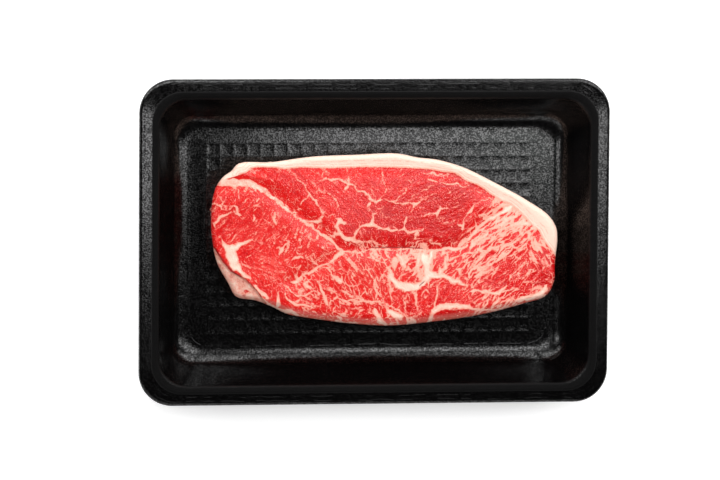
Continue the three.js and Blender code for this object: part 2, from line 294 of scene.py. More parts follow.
def face_plan():
    """Coons patch: the blend of front and back plus the blend of left and right, less the blend of the
    four corners, which both of them count."""
    u, v = (crowded(cells) for cells in FACE_CELLS)
    front, back = stretch(FRONT_LEFT, FRONT_RIGHT, u), stretch(BACK_LEFT, BACK_RIGHT, u)
    left = stretch(FRONT_LEFT, BACK_LEFT, v)
    right = stretch(FRONT_RIGHT, BACK_RIGHT + len(STEAK_OUTLINE), v)
    u, v = u[:, None, None], v[None, :, None]
    across = (1 - v) * front[:, None] + v * back[:, None] + (1 - u) * left[None] + u * right[None]
    corners = (1 - u) * ((1 - v) * front[0] + v * back[0]) + u * ((1 - v) * front[-1] + v * back[-1])
    return across - corners


plan = face_plan()
largest_step = np.abs(np.diff(plan, axis=0)).max()
print(f"cut face: {plan.shape[0]} by {plan.shape[1]} points, largest step {largest_step:.2f} mm")

# %% [markdown]
# ## Heights of the cut face
# A knife leaves the face nearly flat. What shapes it is the rounded edge, deepest at the front where the
# meat sags, the valleys along the seams of fat, and the flap of fat that lies a step lower at the front
# left. These repeat the CAD model's relief, and three fine slits are added where the muscles part.

# %% Heights of the cut face
STEAK_REST = 4.45
STEAK_THICKNESS = 16.4
EDGE_ROLL = 2.2
FRONT_EDGE_ROLL = 5.0
BOTTOM_ROLL = 2.4
SIDE_LEAN = 0.14
SEAM_DEPTH = 0.8
SEAM_REACH = 3.5
FLAP_STEP = 1.5
FLAP_SLOPE = 0.35
SWELL_HEIGHT = 0.35
SWELL_SHIFT = 0.6
SWELL_ALONG, SWELL_ACROSS = 16, 13
FRONT_FROM, FRONT_TO = 22, 31
SEAMS = [
    [(-70, 24.8), (-54, 25.5), (-45, 21), (-36, 13.5), (-24, 5), (-15, -3.5)],
    [(-54, 32.5), (-30, 33), (-8, 33), (18, 32.6), (38, 28.5), (51, 21), (62, 15.4), (74, 4), (82, -9)],
    [(-15, -3.5), (0, -3.4), (17, -3.6), (28, -4.2), (38, -3), (46, 3.5), (55, 11), (60, 15)],
    [(-15, -3.5), (-24, -11), (-37, -18.5)],
]
FLAP_CREASE = [
    (-76, 4), (-70.2, -3.6), (-67, -8.8), (-63.6, -12.8), (-57, -16.4), (-52.5, -21), (-48, -27),
    (-45, -34),
]
SLITS = [
    [(-1, -3), (5, -3), (12, -2.9), (17, -3.2), (21.5, -3.5)],
    [(-71, -2.6), (-68.4, -6.6), (-66.2, -9.6), (-63, -13.3), (-59.5, -15.4)],
    [(20.5, -20), (22.3, -18.4)],
]
SLIT_DEPTH = 0.35
SLIT_HALF_WIDTH = 0.45


def nearest_on(ax, ay, bx, by, x, y):
    """How far along a straight stretch its nearest point to (x, y) is, 0 to 1, and how far from there."""
    dx, dy = bx - ax, by - ay
    share = np.clip(((x - ax) * dx + (y - ay) * dy) / (dx * dx + dy * dy), 0, 1)
    return share, np.hypot(x - ax - share * dx, y - ay - share * dy)


def distance_to(run, x, y):
    """Distance to the nearest point of a run of straight stretches, positive to the left of the run."""
    best = np.full(np.shape(x), np.inf)
    for (ax, ay), (bx, by) in zip(run[:-1], run[1:]):
        distance = nearest_on(ax, ay, bx, by, x, y)[1]
        side = np.where((bx - ax) * (y - ay) - (by - ay) * (x - ax) < 0, -1, 1)
        best = np.where(distance < np.abs(best), side * distance, best)
    return best


outline = outline_at(np.arange(0, len(STEAK_OUTLINE) + 0.2, 0.25))
beyond_crease = -distance_to(FLAP_CREASE, plan[..., 0], plan[..., 1])
from_edge = np.abs(distance_to(outline, plan[..., 0], plan[..., 1]))
to_slits = np.array([distance_to(run, plan[..., 0], plan[..., 1]) for run in SLITS])
slit = np.take_along_axis(to_slits, np.abs(to_slits).argmin(axis=0)[None], axis=0)[0]


def face_height(x, y):
    """Flat cut plus swell, less the seams' valleys, the flap, the slits and the edge's quarter round."""
    swell = SWELL_HEIGHT * np.cos(x / SWELL_ALONG + SWELL_SHIFT) * np.cos(y / SWELL_ACROSS)
    seam = np.min([np.abs(distance_to(run, x, y)) for run in SEAMS], axis=0)
    valley = SEAM_DEPTH * np.exp(-((seam / SEAM_REACH) ** 2))
    flap = FLAP_STEP * smoothstep(beyond_crease, 0, 1) + FLAP_SLOPE * np.maximum(beyond_crease, 0)
    roll = EDGE_ROLL + (FRONT_EDGE_ROLL - EDGE_ROLL) * smoothstep(-y, FRONT_FROM, FRONT_TO)
    short = np.maximum(roll - from_edge, 0)
    rolled = roll - np.sqrt(roll ** 2 - short ** 2)
    cut = SLIT_DEPTH * np.exp(-((slit / SLIT_HALF_WIDTH) ** 2))
    return STEAK_REST + STEAK_THICKNESS + swell - valley - flap - cut - rolled


height = face_height(plan[..., 0], plan[..., 1])
print(f"cut face: {height.min():.1f} to {height.max():.1f} mm high")

# %% [markdown]
# ## The marbling
# Beef marbling is fat that lies between bundles of muscle fibre. The thick veins are drawn strokes with a
# half width at each point, and they give a field in millimetres: above zero is fat, below is lean. The
# finest flecks are too many to draw. They come from noise that is combed along the fibres, with more of it
# kept where the meat is fatter, and from a lacy network that the finish adds later.

# %% Veins of the large upper muscle
EYE_VEINS = [
    [(-38.8, 31.8, .25), (-36, 29.4, .35), (-33, 26.9, .5), (-30.6, 25.2, .5), (-30.3, 22.5, .4),
     (-29.9, 20.8, .5), (-27.5, 19.6, .5), (-26, 18, .5), (-25, 16, .45), (-24.3, 14, .4),
     (-22.8, 12.2, .35), (-23.5, 10.8, .4)],
    [(-29.9, 20.8, .4), (-31, 19, .35), (-32.7, 17.2, .45)],
    [(-27.5, 25.3, .2), (-26, 24.6, .3), (-24.3, 23, .35), (-22.3, 21.2, .4)],
    [(-21, 21.3, .4), (-18.3, 20.2, .45), (-17.3, 18, .4), (-16.6, 16.3, .5), (-17, 15, .3)],
    [(-24.3, 14, .35), (-21.8, 13, .4), (-20.5, 11.5, .35), (-19.6, 10.3, .25)],
    [(-25.5, 19, .3), (-23.6, 19.3, .3), (-21.2, 18.8, .2)],
    [(-30, 9.3, .4), (-27.5, 8.8, 1), (-25, 8.2, 1), (-24, 10, .6)],
    [(-17, 10.2, .5), (-15.3, 9.6, .9), (-13.5, 8.2, .9)],
    [(-15.3, 9.6, .9), (-17, 7.6, .8), (-16.5, 5.5, .9), (-15.4, 3.6, 1), (-13.5, 1.6, 1.2),
     (-10, .6, 1), (-5, .2, .5), (0, -.2, .4), (4, -2, .5), (6, -3.3, .3)],
    [(-18, 3.3, .8), (-15.5, 3.2, .7)],
    [(-22, 4.6, .4), (-20, 2.9, .5), (-18, 1.8, .6)],
    [(-23.8, 27, .3), (-21.5, 28.4, .4), (-19.5, 27.5, .5), (-15, 27.4, .5), (-12, 25.8, .6),
     (-9.5, 25, .6), (-7.5, 23.5, .5), (-5.5, 21.8, .5), (-3.3, 20.6, .5), (-1.5, 18.6, .6),
     (.5, 17.6, .6), (2.3, 18.4, .7), (4, 17.7, .35), (7, 17.9, .4), (8.5, 18, .55), (10, 17, .45),
     (13.5, 16.8, .5), (17, 16.8, .4), (18.8, 16.6, .8)],
    [(-11.3, 28.8, .35), (-10.8, 27, .5), (-11, 25.4, .5), (-13, 22.5, .5)],
    [(-2.8, 24, .3), (-1.5, 22, .3), (.3, 19.8, .35), (.6, 18, .3)],
    [(3.2, 32, .3), (3.8, 28.5, .4), (4.6, 26, .4), (5.5, 23.8, .35), (4.3, 21, .3), (2.4, 18.8, .4)],
    [(-2.3, 17, .6), (-3.2, 16.2, .55)],
    [(.6, 17, .35), (.7, 15, .3), (2.2, 14.3, .3), (4, 15.4, .2)],
    [(8.5, 18, .4), (11, 19.8, .35), (13.3, 21, .4), (14.5, 22, .4), (14.5, 24, .3)],
    [(18.8, 16.6, .8), (20.8, 17.6, .4), (22, 18.1, .35)],
    [(18.8, 16.6, .7), (17.5, 14.8, .4), (16.4, 13.2, .4), (15.3, 12.2, .15)],
    [(18.8, 16.2, .4), (20.5, 14.2, .3), (23, 13, .25)],
    [(.7, 12.3, .4), (-.8, 12.2, .3), (-.9, 10.3, .5), (-1, 8, 1.1), (-3.3, 6.9, .8), (-6.5, 6.8, .6),
     (-7.3, 5, .5), (-8.3, 2.8, .5), (-9, 1.2, .6)],
    [(-7, 7, .5), (-8.5, 9.6, .25)],
    [(-1, 8, 1), (1, 6.2, .7), (3.5, 5.3, .6), (6, 4.9, .6), (9, 5.1, .5), (13, 5.1, .6), (16, 4.2, .6),
     (19.2, 4, .6), (18.8, 2.2, .5), (19, .7, .5), (18, .1, .35)],
    [(13.3, 5.2, .5), (13.8, 7.5, .5), (14.4, 10, .5), (14.4, 11.3, .3)],
    [(19.5, 4.4, .3), (21.5, 4.8, .4), (22.7, 5.3, .3)],
    [(3.8, 11.7, .3), (4.6, 10.8, .4), (6, 10.4, .3), (9, 10.2, .2), (12, 10.3, .15)],
    [(14.8, 10.4, .2), (18, 10.2, .2), (20.5, 10.2, .25), (22.6, 11, .35), (24.5, 12.1, .4),
     (26.5, 12.6, .35)],
    [(15, 9.3, .15), (18, 9.2, .15)],
    [(26.7, 12.6, .4), (28, 12.6, .8), (28.9, 13.3, .7), (29.6, 14.4, .6), (29.5, 15.6, .35),
     (28.2, 17, .2)],
    [(29.6, 14.3, .5), (31, 14.2, .3), (33, 14.6, .4)],
    [(28.2, 12.3, .7), (28.2, 11.2, .4)],
    [(20.8, 22, .25), (22, 22.5, .35), (24, 23.5, .3), (25.5, 24.5, .25), (27.8, 24.4, .2)],
    [(22, 19, .25), (24, 20, .3), (26.5, 20.8, .35), (28, 20.5, .2)],
    [(17, 19.8, .2), (18.2, 20.4, .3), (19.5, 20, .2)],
    [(32.5, 24.3, .2), (33, 22.5, .3), (33.4, 21, .4)],
    [(22, 29.8, .3), (26, 30, .5), (30, 29.2, .3), (33, 29.3, .3)],
    [(24, 27.3, .4), (27, 26.8, .5), (28, 26.3, .3)],
    [(29.5, 26.2, .3), (32, 26, .4), (34.5, 25.4, .4), (37, 25, .5), (39.5, 23.6, .45), (41.5, 24.5, .3)],
    [(35.5, 18, .1), (37.5, 19.5, .2), (39.7, 21.2, .25)],
    [(43, 21.6, .2), (44.5, 22.2, .25)],
    [(47.5, 22, .2), (49.5, 22, .2)],
    [(31.5, 7.3, .3), (33, 8.4, .35)],
    [(34.1, 5.7, .5), (34.4, 5.8, .4)],
    [(26.2, .5, .3), (26, -.8, .3)],
    [(19.8, -1.5, .4), (21.5, -1.7, .6), (23, -2.2, .8), (24.3, -3.6, .5)],
]
print(len(EYE_VEINS), "strokes in the large upper muscle")

# %% Veins of the ring-shaped muscle and the streaks beside it
KNUCKLE_VEINS = [
    [(39.5, 4.8, .6), (39.9, 7, .4), (40.3, 9.5, .4), (41.5, 12, .35), (43.3, 13.6, .8), (44.5, 15.5, .3),
     (46.3, 17.3, .25), (48.5, 18.5, .3), (51, 18.7, .3), (53.3, 18.3, .35), (54.6, 17, .25),
     (54.5, 15, .25), (53.2, 13, .25)],
    [(38.3, 6.4, .6), (39.7, 6.2, .8), (39.9, 5, .5)],
    [(45.8, 12.2, .3), (47.5, 14, .25), (50, 15.6, .25), (51.8, 17, .2)],
    [(45.2, 11, .3), (45.3, 8.5, .35), (45.7, 6.2, .45), (46.2, 4.8, .6)],
    [(47, 11.3, .5), (49.5, 11.5, .4)],
    [(42, .5, .8), (44, 2.4, .9), (46.2, 4.6, 1), (48.5, 6.6, .8), (51.5, 9.3, 1.1), (55, 11, 1.2),
     (58, 13, 1.2), (61, 14.8, 1.4)],
    [(56, 16.5, .3), (57, 15, .6), (60, 15.4, .5)],
    [(44, -.5, .5), (47, 1.2, .4), (51, 4.3, .5), (55, 6.5, .7), (60, 9, .7), (64, 11, .8)],
    [(47, -1.8, .6), (50, .6, .5), (53.5, 3.2, .5), (57, 5, .7), (61, 6.2, .7), (66, 8.2, 1), (70, 7, .6)],
    [(60, 3.2, .3), (64, 3.8, .35), (67.5, 4.7, .3), (69, 4.4, .2)],
]
print(len(KNUCKLE_VEINS), "strokes in the ring-shaped muscle and beside it")

# %% Veins of the left-hand muscle
LEFT_VEINS = [
    [(-72, 16.6, .5), (-70, 16.4, .4), (-68.5, 16.5, .6), (-67.7, 15, .4)],
    [(-68.2, 18.8, .3), (-68, 17, .4)],
    [(-71.5, 8.5, .5), (-70.5, 8.9, .5), (-69, 10.5, .7), (-67.5, 11.8, .6), (-65.5, 12.6, .5),
     (-63.8, 13.6, .35)],
    [(-71.3, 7.8, .5), (-71.2, 6.3, .3)],
    [(-64.5, 15.5, .3), (-63, 16, .4), (-61.4, 15.8, .5), (-60.6, 14, .5), (-60, 12, .6),
     (-59.3, 11.3, .3)],
    [(-63, 14.2, .3), (-61.6, 13.5, .4), (-60.2, 12.6, .4)],
    [(-60.7, 23.5, .3), (-60.5, 21.5, .3), (-60.8, 19.5, .3)],
    [(-51.5, 19.3, .4), (-52.3, 18, .4)],
    [(-54.3, 13.8, .3), (-53.2, 14.8, .4), (-52.4, 15.2, .2)],
    [(-53.7, 12.2, .4), (-53.6, 10.6, .6), (-54.2, 9.3, .3)],
    [(-50.2, 10.5, .25), (-48.8, 8.9, .3), (-47, 8.6, .3), (-45.3, 7.2, .25)],
    [(-44, 13.4, .3), (-44.3, 11.3, .4), (-44.4, 9.8, .6), (-43.8, 8.2, .45)],
    [(-46.8, 14, .2), (-45.4, 12, .25), (-44.5, 10.4, .3)],
    [(-36.3, 10.2, .3), (-37, 9, .3), (-37.6, 7.6, .3)],
    [(-54, 8.6, .15), (-52.4, 7.2, .25), (-50, 6.5, .25), (-48.3, 6.2, .3)],
    [(-68.5, -.5, .3), (-67, -1.4, .8), (-65, -3, 2), (-64, -5.2, 2.5), (-63, -7.5, 2.5), (-62, -10.5, 2),
     (-60.5, -12.5, 1.5), (-58, -14.5, 1), (-55.5, -16.3, .6)],
    [(-64, -3.5, 2), (-60.5, -1.6, 1.3), (-57.5, -.2, .9), (-54.2, 1.2, .35)],
    [(-68.7, 2.2, .2), (-68, .8, .35), (-66.8, -1.2, .8)],
    [(-62.3, 4, .25), (-63.2, 1.8, .35), (-64, 0, .3)],
    [(-56.5, 2.6, .15), (-54, 3.7, .25), (-52, 4.7, .25), (-50.3, 4.7, .2)],
    [(-48.4, -.3, .3), (-47.6, 1.3, .35), (-46.2, 2.2, .2)],
    [(-45.6, 5.5, .2), (-45.3, 3.5, .3), (-44.2, 1.6, .3), (-44, -.5, .25)],
    [(-44.4, 3, .2), (-42.7, 4.5, .25)],
    [(-37.2, 5.3, .3), (-35.8, 3.6, .4), (-34.8, 1.5, .3)],
    [(-32.3, 4, .3), (-32.9, 2, .35), (-33, -.5, .35), (-33.2, -2.5, .3)],
    [(-28.3, 5, .25), (-28.6, 3.3, .3), (-29.6, 1.2, .3)],
    [(-38.3, 0, .4), (-39.5, -1.6, .4), (-41, -3, .8), (-42, -4.6, .6), (-42.2, -5.8, .3)],
    [(-41, -3, .7), (-43.5, -2.8, .4)],
    [(-36.5, -8.3, .4), (-35, -7.4, .7), (-33.2, -6.6, .6), (-32, -7.7, .4), (-30, -7, .35),
     (-28, -5.8, .3), (-26.5, -4.8, .25)],
    [(-33, -4.8, .2), (-31, -4, .25)],
    [(-30, -8, .3), (-29.3, -9.5, .35), (-28.7, -10.8, .2)],
    [(-25.5, -8, .3), (-23.5, -6.6, .35), (-21.5, -5.6, .3), (-19.5, -5, .3), (-17.5, -4, .5)],
    [(-33, -10.6, .35), (-33.3, -12.5, .35), (-34, -14.5, .3)],
    [(-57.5, -7.4, .2), (-55.5, -6, .3), (-54.5, -5.2, .2)],
]
print(len(LEFT_VEINS), "strokes in the left-hand muscle")

# %% Veins of the lower left
LOWER_LEFT_VEINS = [
    [(-58, -17.6, .5), (-55, -19.5, .5), (-53, -21.7, .6), (-51.3, -24, .6), (-49, -26.6, .5),
     (-46.5, -28.3, .6), (-43.5, -29.6, .8), (-40, -31, .8), (-37.5, -31, 1), (-33, -33, .5)],
    [(-53, -19.3, .8), (-51, -21.5, .7), (-49.5, -23, 1), (-48, -25.2, .8)],
    [(-49.5, -19.3, .2), (-47, -18.8, .3), (-44, -17.5, .3)],
    [(-42.7, -22, .3), (-42.6, -25, .7), (-42.7, -28, 1.1)],
    [(-39.3, -23, .5), (-38.8, -25.5, .5), (-36.5, -27.5, .9), (-33, -28, .7), (-30.5, -28.5, .6),
     (-28, -29, .5)],
    [(-40.3, -18.8, .4), (-38, -20.5, .4), (-36, -22.5, .5), (-34, -24.2, .6), (-31, -24.3, .6),
     (-28.5, -22.9, .4), (-27, -22.3, .3), (-25, -23.2, .3)],
    [(-26.5, -17, .3), (-25, -18, .6), (-24, -20.5, .6), (-23, -22.5, .8), (-22, -25, .7),
     (-21, -27.5, .7), (-20.5, -29, .4)],
    [(-23, -12, .4), (-21, -12.5, .6), (-19.5, -13.8, .5), (-17.5, -15.5, .5), (-16, -17, 1),
     (-14.8, -18.3, 1.1)],
    [(-14.5, -15.5, .4), (-14, -17, .5)],
    [(-31, -18.5, .8), (-29, -21, .6)],
    [(-16.8, -23.5, .3), (-15.5, -26, .5), (-13, -27, .5), (-10, -26, .5), (-7, -25.6, .5), (-5, -26, .5),
     (-3, -27, .6), (0, -27.5, .5), (3, -27.5, .5), (6, -28.2, .4), (9, -29.5, .4), (12, -31.3, .45),
     (14, -33, .5), (15.5, -35, .6), (17.5, -37, .7)],
    [(6.5, -31.3, 1.2), (9, -32.6, 1.9), (12, -34, 1.5)],
    [(.5, -31, 1), (1.5, -34, 1.3), (4, -36, 1), (6, -37.5, .8)],
]
print(len(LOWER_LEFT_VEINS), "strokes at the lower left")

# %% Veins of the lower middle
LOWER_MIDDLE_VEINS = [
    [(-8.3, -5.2, .4), (-7.3, -6.8, .5)],
    [(-2, -5.4, .4), (-1, -7.2, .7), (.5, -8, .8), (1.5, -9.3, .6), (3, -9.8, .4), (5, -10, .3)],
    [(4.5, -5, .5), (6, -6.5, .7), (7.5, -8, .5)],
    [(10.5, -5.8, .9), (12, -8, 1.2), (14, -10, .9), (16.5, -8, .5)],
    [(22.5, -7, 1.8), (23.5, -10, 2.2), (24, -13, 1.6), (24, -16, 2), (22, -18.5, 1.4), (18, -20.5, 2),
     (15, -20.8, 2.6), (12, -19.8, 1.6), (9.5, -18.5, 1.6), (8, -16.5, 1.5), (7.5, -14.5, 1.2),
     (7, -12.5, .7), (5.5, -11.5, .4)],
    [(17.8, -5.5, .8), (19.5, -6.5, .6), (20.5, -8, .6)],
    [(15.5, -12, .6), (17.5, -14, .9), (18.5, -15.5, .6), (19.5, -14, .7), (19.5, -12, .6),
     (20.5, -10.5, .8)],
    [(12.5, -9.5, 1.2), (13.5, -12, .7), (12.8, -13.5, .3)],
    [(24.5, -15, 1.8), (28, -15.5, 1.4), (31, -15.8, 1.4), (34, -17, 1.2), (37, -18.5, 1.1),
     (40, -19.6, .7), (42.5, -20.5, .5)],
    [(25, -9, 1.2), (25.5, -5.5, 1.3)],
    [(31.8, -12, 1), (31.8, -9, .6), (32.3, -6, .6)],
    [(30, -14, 1.2), (29, -11.5, .5), (27.2, -9.8, .4)],
    [(-3.5, -11, .3), (-2, -13, .4), (-1, -15, .5), (-.2, -17, .7), (0, -19.5, .6), (.7, -22, .6),
     (2, -23.5, .7), (3, -24.7, .5)],
    [(6.5, -16.5, .5), (6.8, -20, .5), (7.5, -23, .5), (8, -25.5, .4)],
    [(15.5, -24, .3), (16, -26.5, .3)],
    [(18.8, -24, .7), (19, -27, .6), (19.5, -30, .4), (20, -33, .4)],
    [(23.5, -22, .6), (24.5, -24.5, .3)],
    [(28.3, -19.2, .4), (28.2, -22, .4), (28.3, -25, .5), (27.6, -27, .5), (27, -30, .6),
     (26.3, -33, .7), (25, -36, .8)],
    [(17, -34, .7), (18.5, -36.5, .8)],
]
print(len(LOWER_MIDDLE_VEINS), "strokes in the lower middle")

# %% Veins of the lower right
LOWER_RIGHT_VEINS = [
    [(44.5, -22.6, .8), (48, -23, .6), (51, -22.8, .9), (53.5, -23.8, 1), (56, -24, .9), (58, -22, .9),
     (59.3, -20.3, .5)],
    [(27, -31.5, 1.2), (30, -29.5, 1), (33, -28.7, 1.2), (37, -29.2, 1), (41, -29.6, 1), (44.5, -30.2, .8),
     (48, -31.3, .8), (53, -31.3, .6), (57, -30.6, .5), (61, -30, .4)],
    [(64, -27, .7), (68, -26.6, 1.3), (72, -25.8, 1), (76.5, -23, 1.4), (77.5, -21, .8)],
    [(66, -25.5, .5), (70, -25, .8), (74, -25, .8), (77, -24.8, .6)],
    [(42.5, -24, .4), (43, -26.5, .4), (46, -28.8, .3)],
    [(50, -25.5, .3), (51.5, -24.5, .5)],
    [(55.5, -25.5, .6), (54.5, -28, .8), (53, -30, .6)],
    [(51.2, -26.5, .4), (50.3, -28.5, .6), (49.5, -30.5, .6)],
]
print(len(LOWER_RIGHT_VEINS), "strokes at the lower right")

# %% Seams of fat between the muscles
SEAM_VEINS = [
    [(-70, 26.9, 2.6), (-62, 27, 2.4), (-55, 25.9, 1.6), (-50, 23.4, 1.1), (-45.5, 19.8, .85),
     (-41, 16, .65), (-36, 12.3, .55), (-31, 8.6, .55), (-26, 5, .7), (-21, 1.4, .85), (-17, -1.6, .85),
     (-14.5, -4, .9)],
    [(-15, -5, .8), (-16.8, -6.2, .8), (-19, -8.6, .55), (-22, -10.2, .5), (-25, -11.6, .6),
     (-27.5, -13.6, .8), (-30, -14.6, .6), (-33, -16.4, .6), (-35, -17.8, 1.1), (-37, -18.3, .6)],
    [(-15, -4.6, .6), (-11, -4.5, .5), (-8, -4.7, .5), (-4, -4, .4), (0, -3.7, .4), (6, -3.7, .4),
     (12, -3.9, .45), (17, -4.2, .5), (21, -4.6, .7), (25, -4.4, .6), (28, -4.5, .8), (31, -3.8, .8),
     (35, -3.9, 1), (39, -3.2, .8), (41.5, -2.2, .8)],
]
CAP_LINE = [
    (-60, 29.8), (-57, 30.6), (-55, 32.3), (-52, 33), (-44, 32.6), (-40, 32), (-33, 32.7), (-20, 32.3),
    (-4, 32.7), (10, 32.5), (20, 31.9), (25, 31.5), (30, 30.6), (36, 29.8), (38, 28.6), (40, 27),
    (43, 25.6), (46, 24.6), (49, 22.8), (52, 20.4), (54, 19.2), (57, 17.4), (61, 15.9), (64, 13.4),
    (67.5, 10), (70, 7.2), (72, 5.5), (74, 3.8), (75.3, 1), (76.5, -1), (79, -4), (81, -6.8), (82.5, -9),
]
print(len(SEAM_VEINS), "strokes in the seams, and", len(CAP_LINE), "points along the cap")

# %% Islands of lean in the fat, each with its middle, half width and half height
LEAN_ISLANDS = [
    (29.5, -8, 1.8, 2.6), (28, -12, 1, 1.6), (35, -8, 1.2, 1.8), (35.5, -12.5, 2.2, 2.5),
    (38.5, -15.5, 1, 1.5), (41, -16.5, 1, 2.3), (43.5, -9, 1.4, 1.3), (38, -7, 1.5, 2),
    (41.5, -5.5, 1.5, 1), (44, -13, 1.5, 1.5), (47.5, -12, 1.5, 1), (15.5, -15.6, 5.2, 2.1),
    (-56.8, -22.1, 0.9, 0.65),
]
print(len(LEAN_ISLANDS), "islands")

# %% [markdown]
# ## The map of fat
# All strokes are put on one map of the cut face with a step of a quarter millimetre. Two strokes that
# meet are joined by a soft maximum, which fills the corner between them as real fat does.

# %% Map of the cut face and its tools
MAP_LOW = np.array((-77.0, -43.0))
MAP_STEP = 0.25
map_x, map_y = np.meshgrid(
    np.arange(MAP_LOW[0], 87.0, MAP_STEP), np.arange(MAP_LOW[1], 43.0, MAP_STEP), indexing="ij"
)
JOINING = 0.12
STROKE_REACH = 2.0
DEEP_LEAN = -3.0
OFF_STROKE = -9.0


def read_map(values, x, y):
    """Value of a map between its places: a straight blend of the four places around (x, y)."""
    across = np.clip((x - MAP_LOW[0]) / MAP_STEP, 0, values.shape[0] - 1.001)
    up = np.clip((y - MAP_LOW[1]) / MAP_STEP, 0, values.shape[1] - 1.001)
    i, j = across.astype(int), up.astype(int)
    s, t = across - i, up - j
    lower = values[i, j] * (1 - s) + values[i + 1, j] * s
    return lower * (1 - t) + (values[i, j + 1] * (1 - s) + values[i + 1, j + 1] * s) * t


def soft_noise(seed, size):
    """White noise blurred by a bell curve of this size in millimetres: its spectrum is multiplied by
    exp(-2 (pi size f)^2). Its spread is 1."""
    white = np.random.default_rng(seed).standard_normal(map_x.shape)
    fx = np.fft.fftfreq(map_x.shape[0], MAP_STEP)[:, None]
    fy = np.fft.rfftfreq(map_x.shape[1], MAP_STEP)
    bell = np.exp(-2 * (math.pi * size) ** 2 * (fx ** 2 + fy ** 2))
    blurred = np.fft.irfft2(np.fft.rfft2(white) * bell, map_x.shape)
    return blurred / blurred.std()


def rounded(path):
    """Cuts the corners of a path twice, a quarter of the way along each stretch."""
    for _ in range(2):
        cut = np.stack([0.75 * path[:-1] + 0.25 * path[1:], 0.25 * path[:-1] + 0.75 * path[1:]], axis=1)
        path = np.vstack([path[:1], cut.reshape(-1, path.shape[1]), path[-1:]])
    return path


def draw_stroke(field, stroke):
    """Half width minus distance from the stroke, joined to the field by k log(e^(a/k) + e^(b/k))."""
    path = rounded(np.array(stroke, dtype=float))
    low = ((path[:, :2].min(axis=0) - STROKE_REACH - MAP_LOW) / MAP_STEP).astype(int).clip(0)
    high = ((path[:, :2].max(axis=0) + STROKE_REACH - MAP_LOW) / MAP_STEP).astype(int)
    part = np.s_[low[0]:high[0], low[1]:high[1]]
    x, y = map_x[part], map_y[part]
    stroke_field = np.full(x.shape, OFF_STROKE)
    for (ax, ay, wide), (bx, by, wide_after) in zip(path[:-1], path[1:]):
        share, distance = nearest_on(ax, ay, bx, by, x, y)
        stroke_field = np.maximum(stroke_field, wide + share * (wide_after - wide) - distance)
    field[part] = JOINING * np.logaddexp(field[part] / JOINING, stroke_field / JOINING)


veins = np.full(map_x.shape, DEEP_LEAN)
strokes = EYE_VEINS + KNUCKLE_VEINS + LEFT_VEINS + LOWER_LEFT_VEINS + LOWER_MIDDLE_VEINS
strokes += LOWER_RIGHT_VEINS + SEAM_VEINS
for stroke in strokes:
    draw_stroke(veins, stroke)
print(f"{len(strokes)} strokes cover {(veins > 0).mean():.1%} of the map")

# %% [markdown]
# ## Fibres and flecks
# Fine flecks lie along the muscle fibres, which turn from place to place. A few directions and shares of
# fat are listed and blended over the map. Averaging noise along the fibres draws it out into streaks, and
# its rank, from 0 to 1, makes it easy to keep exactly the wanted share as fat.

# %% Directions of the fibres in degrees and shares of fine fat, picked at places of the cut face
FIBRES = [
    (-65, 15, 45), (-45, 5, 60), (-35, 0, 70), (-45, -12, -20), (-45, 28, -40), (-30, 22, -45),
    (-15, 15, -40), (3, 28, 90), (8, 24, 45), (-5, 24, -50), (20, 25, 20), (30, 25, -5), (35, 20, 30),
    (25, 5, 0), (50, 14, 45), (50, 2, 38), (60, 8, 30), (60, -15, 40), (50, -17, 35), (70, -15, 60),
    (75, -10, -60), (70, -22, 10), (75, -22, 0), (45, -8, 50), (38, -10, 70), (30, -8, 80),
    (20, -28, 85), (25, -25, 88), (10, -28, -65), (5, -20, -70), (0, -15, -65), (-10, -10, -50),
    (-20, -15, -40), (-15, -25, -30), (-5, -32, 5), (-25, -30, -20), (-45, -23, -80), (-40, -25, -80),
    (15, -12, 70), (52, -27, 60), (60, -25, 50), (35, -23, 60),
]
FAT_SHARES = [
    (-30, 25, .04), (-15, 18, .05), (-10, 8, .04), (5, 12, .03), (5, 28, .08), (20, 22, .05),
    (20, 8, .03), (32, 18, .03), (35, 5, .05), (45, 18, .04), (10, 0, .05), (-60, 12, .1),
    (-65, 20, .14), (-55, 20, .12), (-60, 2, .08), (-50, 12, .1), (-45, 5, .15), (-35, 0, .25),
    (-25, 0, .2), (-45, -12, .18), (-45, -23, .08), (-30, -22, .3), (-15, -10, .18), (0, -10, .3),
    (5, -8, .45), (12, -7, .55), (10, -15, .35), (20, -12, .7), (28, -10, .5), (35, -10, .5),
    (42, -8, .6), (48, -6, .6), (52, -8, .5), (60, 0, .55), (66, 0, .5), (72, 0, .5), (68, 7, .75),
    (62, 8, .7), (56, 5, .65), (60, -15, .15), (55, -20, .2), (68, -12, .3), (75, -10, .3),
    (78, -15, .2), (70, -22, .35), (35, -24, .15), (45, -26, .3), (52, -27, .35), (60, -26, .4),
    (20, -28, .25), (12, -26, .25), (25, -28, .2), (0, -22, .3), (-10, -22, .35), (-15, -30, .35),
    (-5, -30, .3), (5, -34, .3),
]
FLECK_SHARE = 0.7
FLECK_STEEPNESS = 1.6
STREAK_SIZE, STREAK_REACH = 0.34, 1.8
THREAD_SIZE, THREAD_REACH = 0.22, 3.5
WANDER_SIZE, WANDER = 0.8, 0.3
BLEND_SOFTNESS = 6
LACE_DIRECTION = math.radians(42)


def blended(places, values):
    """Values picked at places, blended over the map with the weight 1 / (distance^2 + softness)^2."""
    total, weights = 0, 0
    for (x, y), value in zip(places, values):
        weight = ((map_x - x) ** 2 + (map_y - y) ** 2 + BLEND_SOFTNESS) ** -2
        total, weights = total + weight * value, weights + weight
    return total / weights


def fibre_directions():
    """Cosine and sine of the fibre's angle. Angles are blended doubled, because a fibre has no front."""
    picked = np.array(FIBRES, dtype=float)
    doubled = 2 * np.radians(picked[:, 2])
    angle = np.arctan2(*(blended(picked[:, :2], part) for part in (np.sin(doubled), np.cos(doubled)))) / 2
    return np.cos(angle), np.sin(angle)


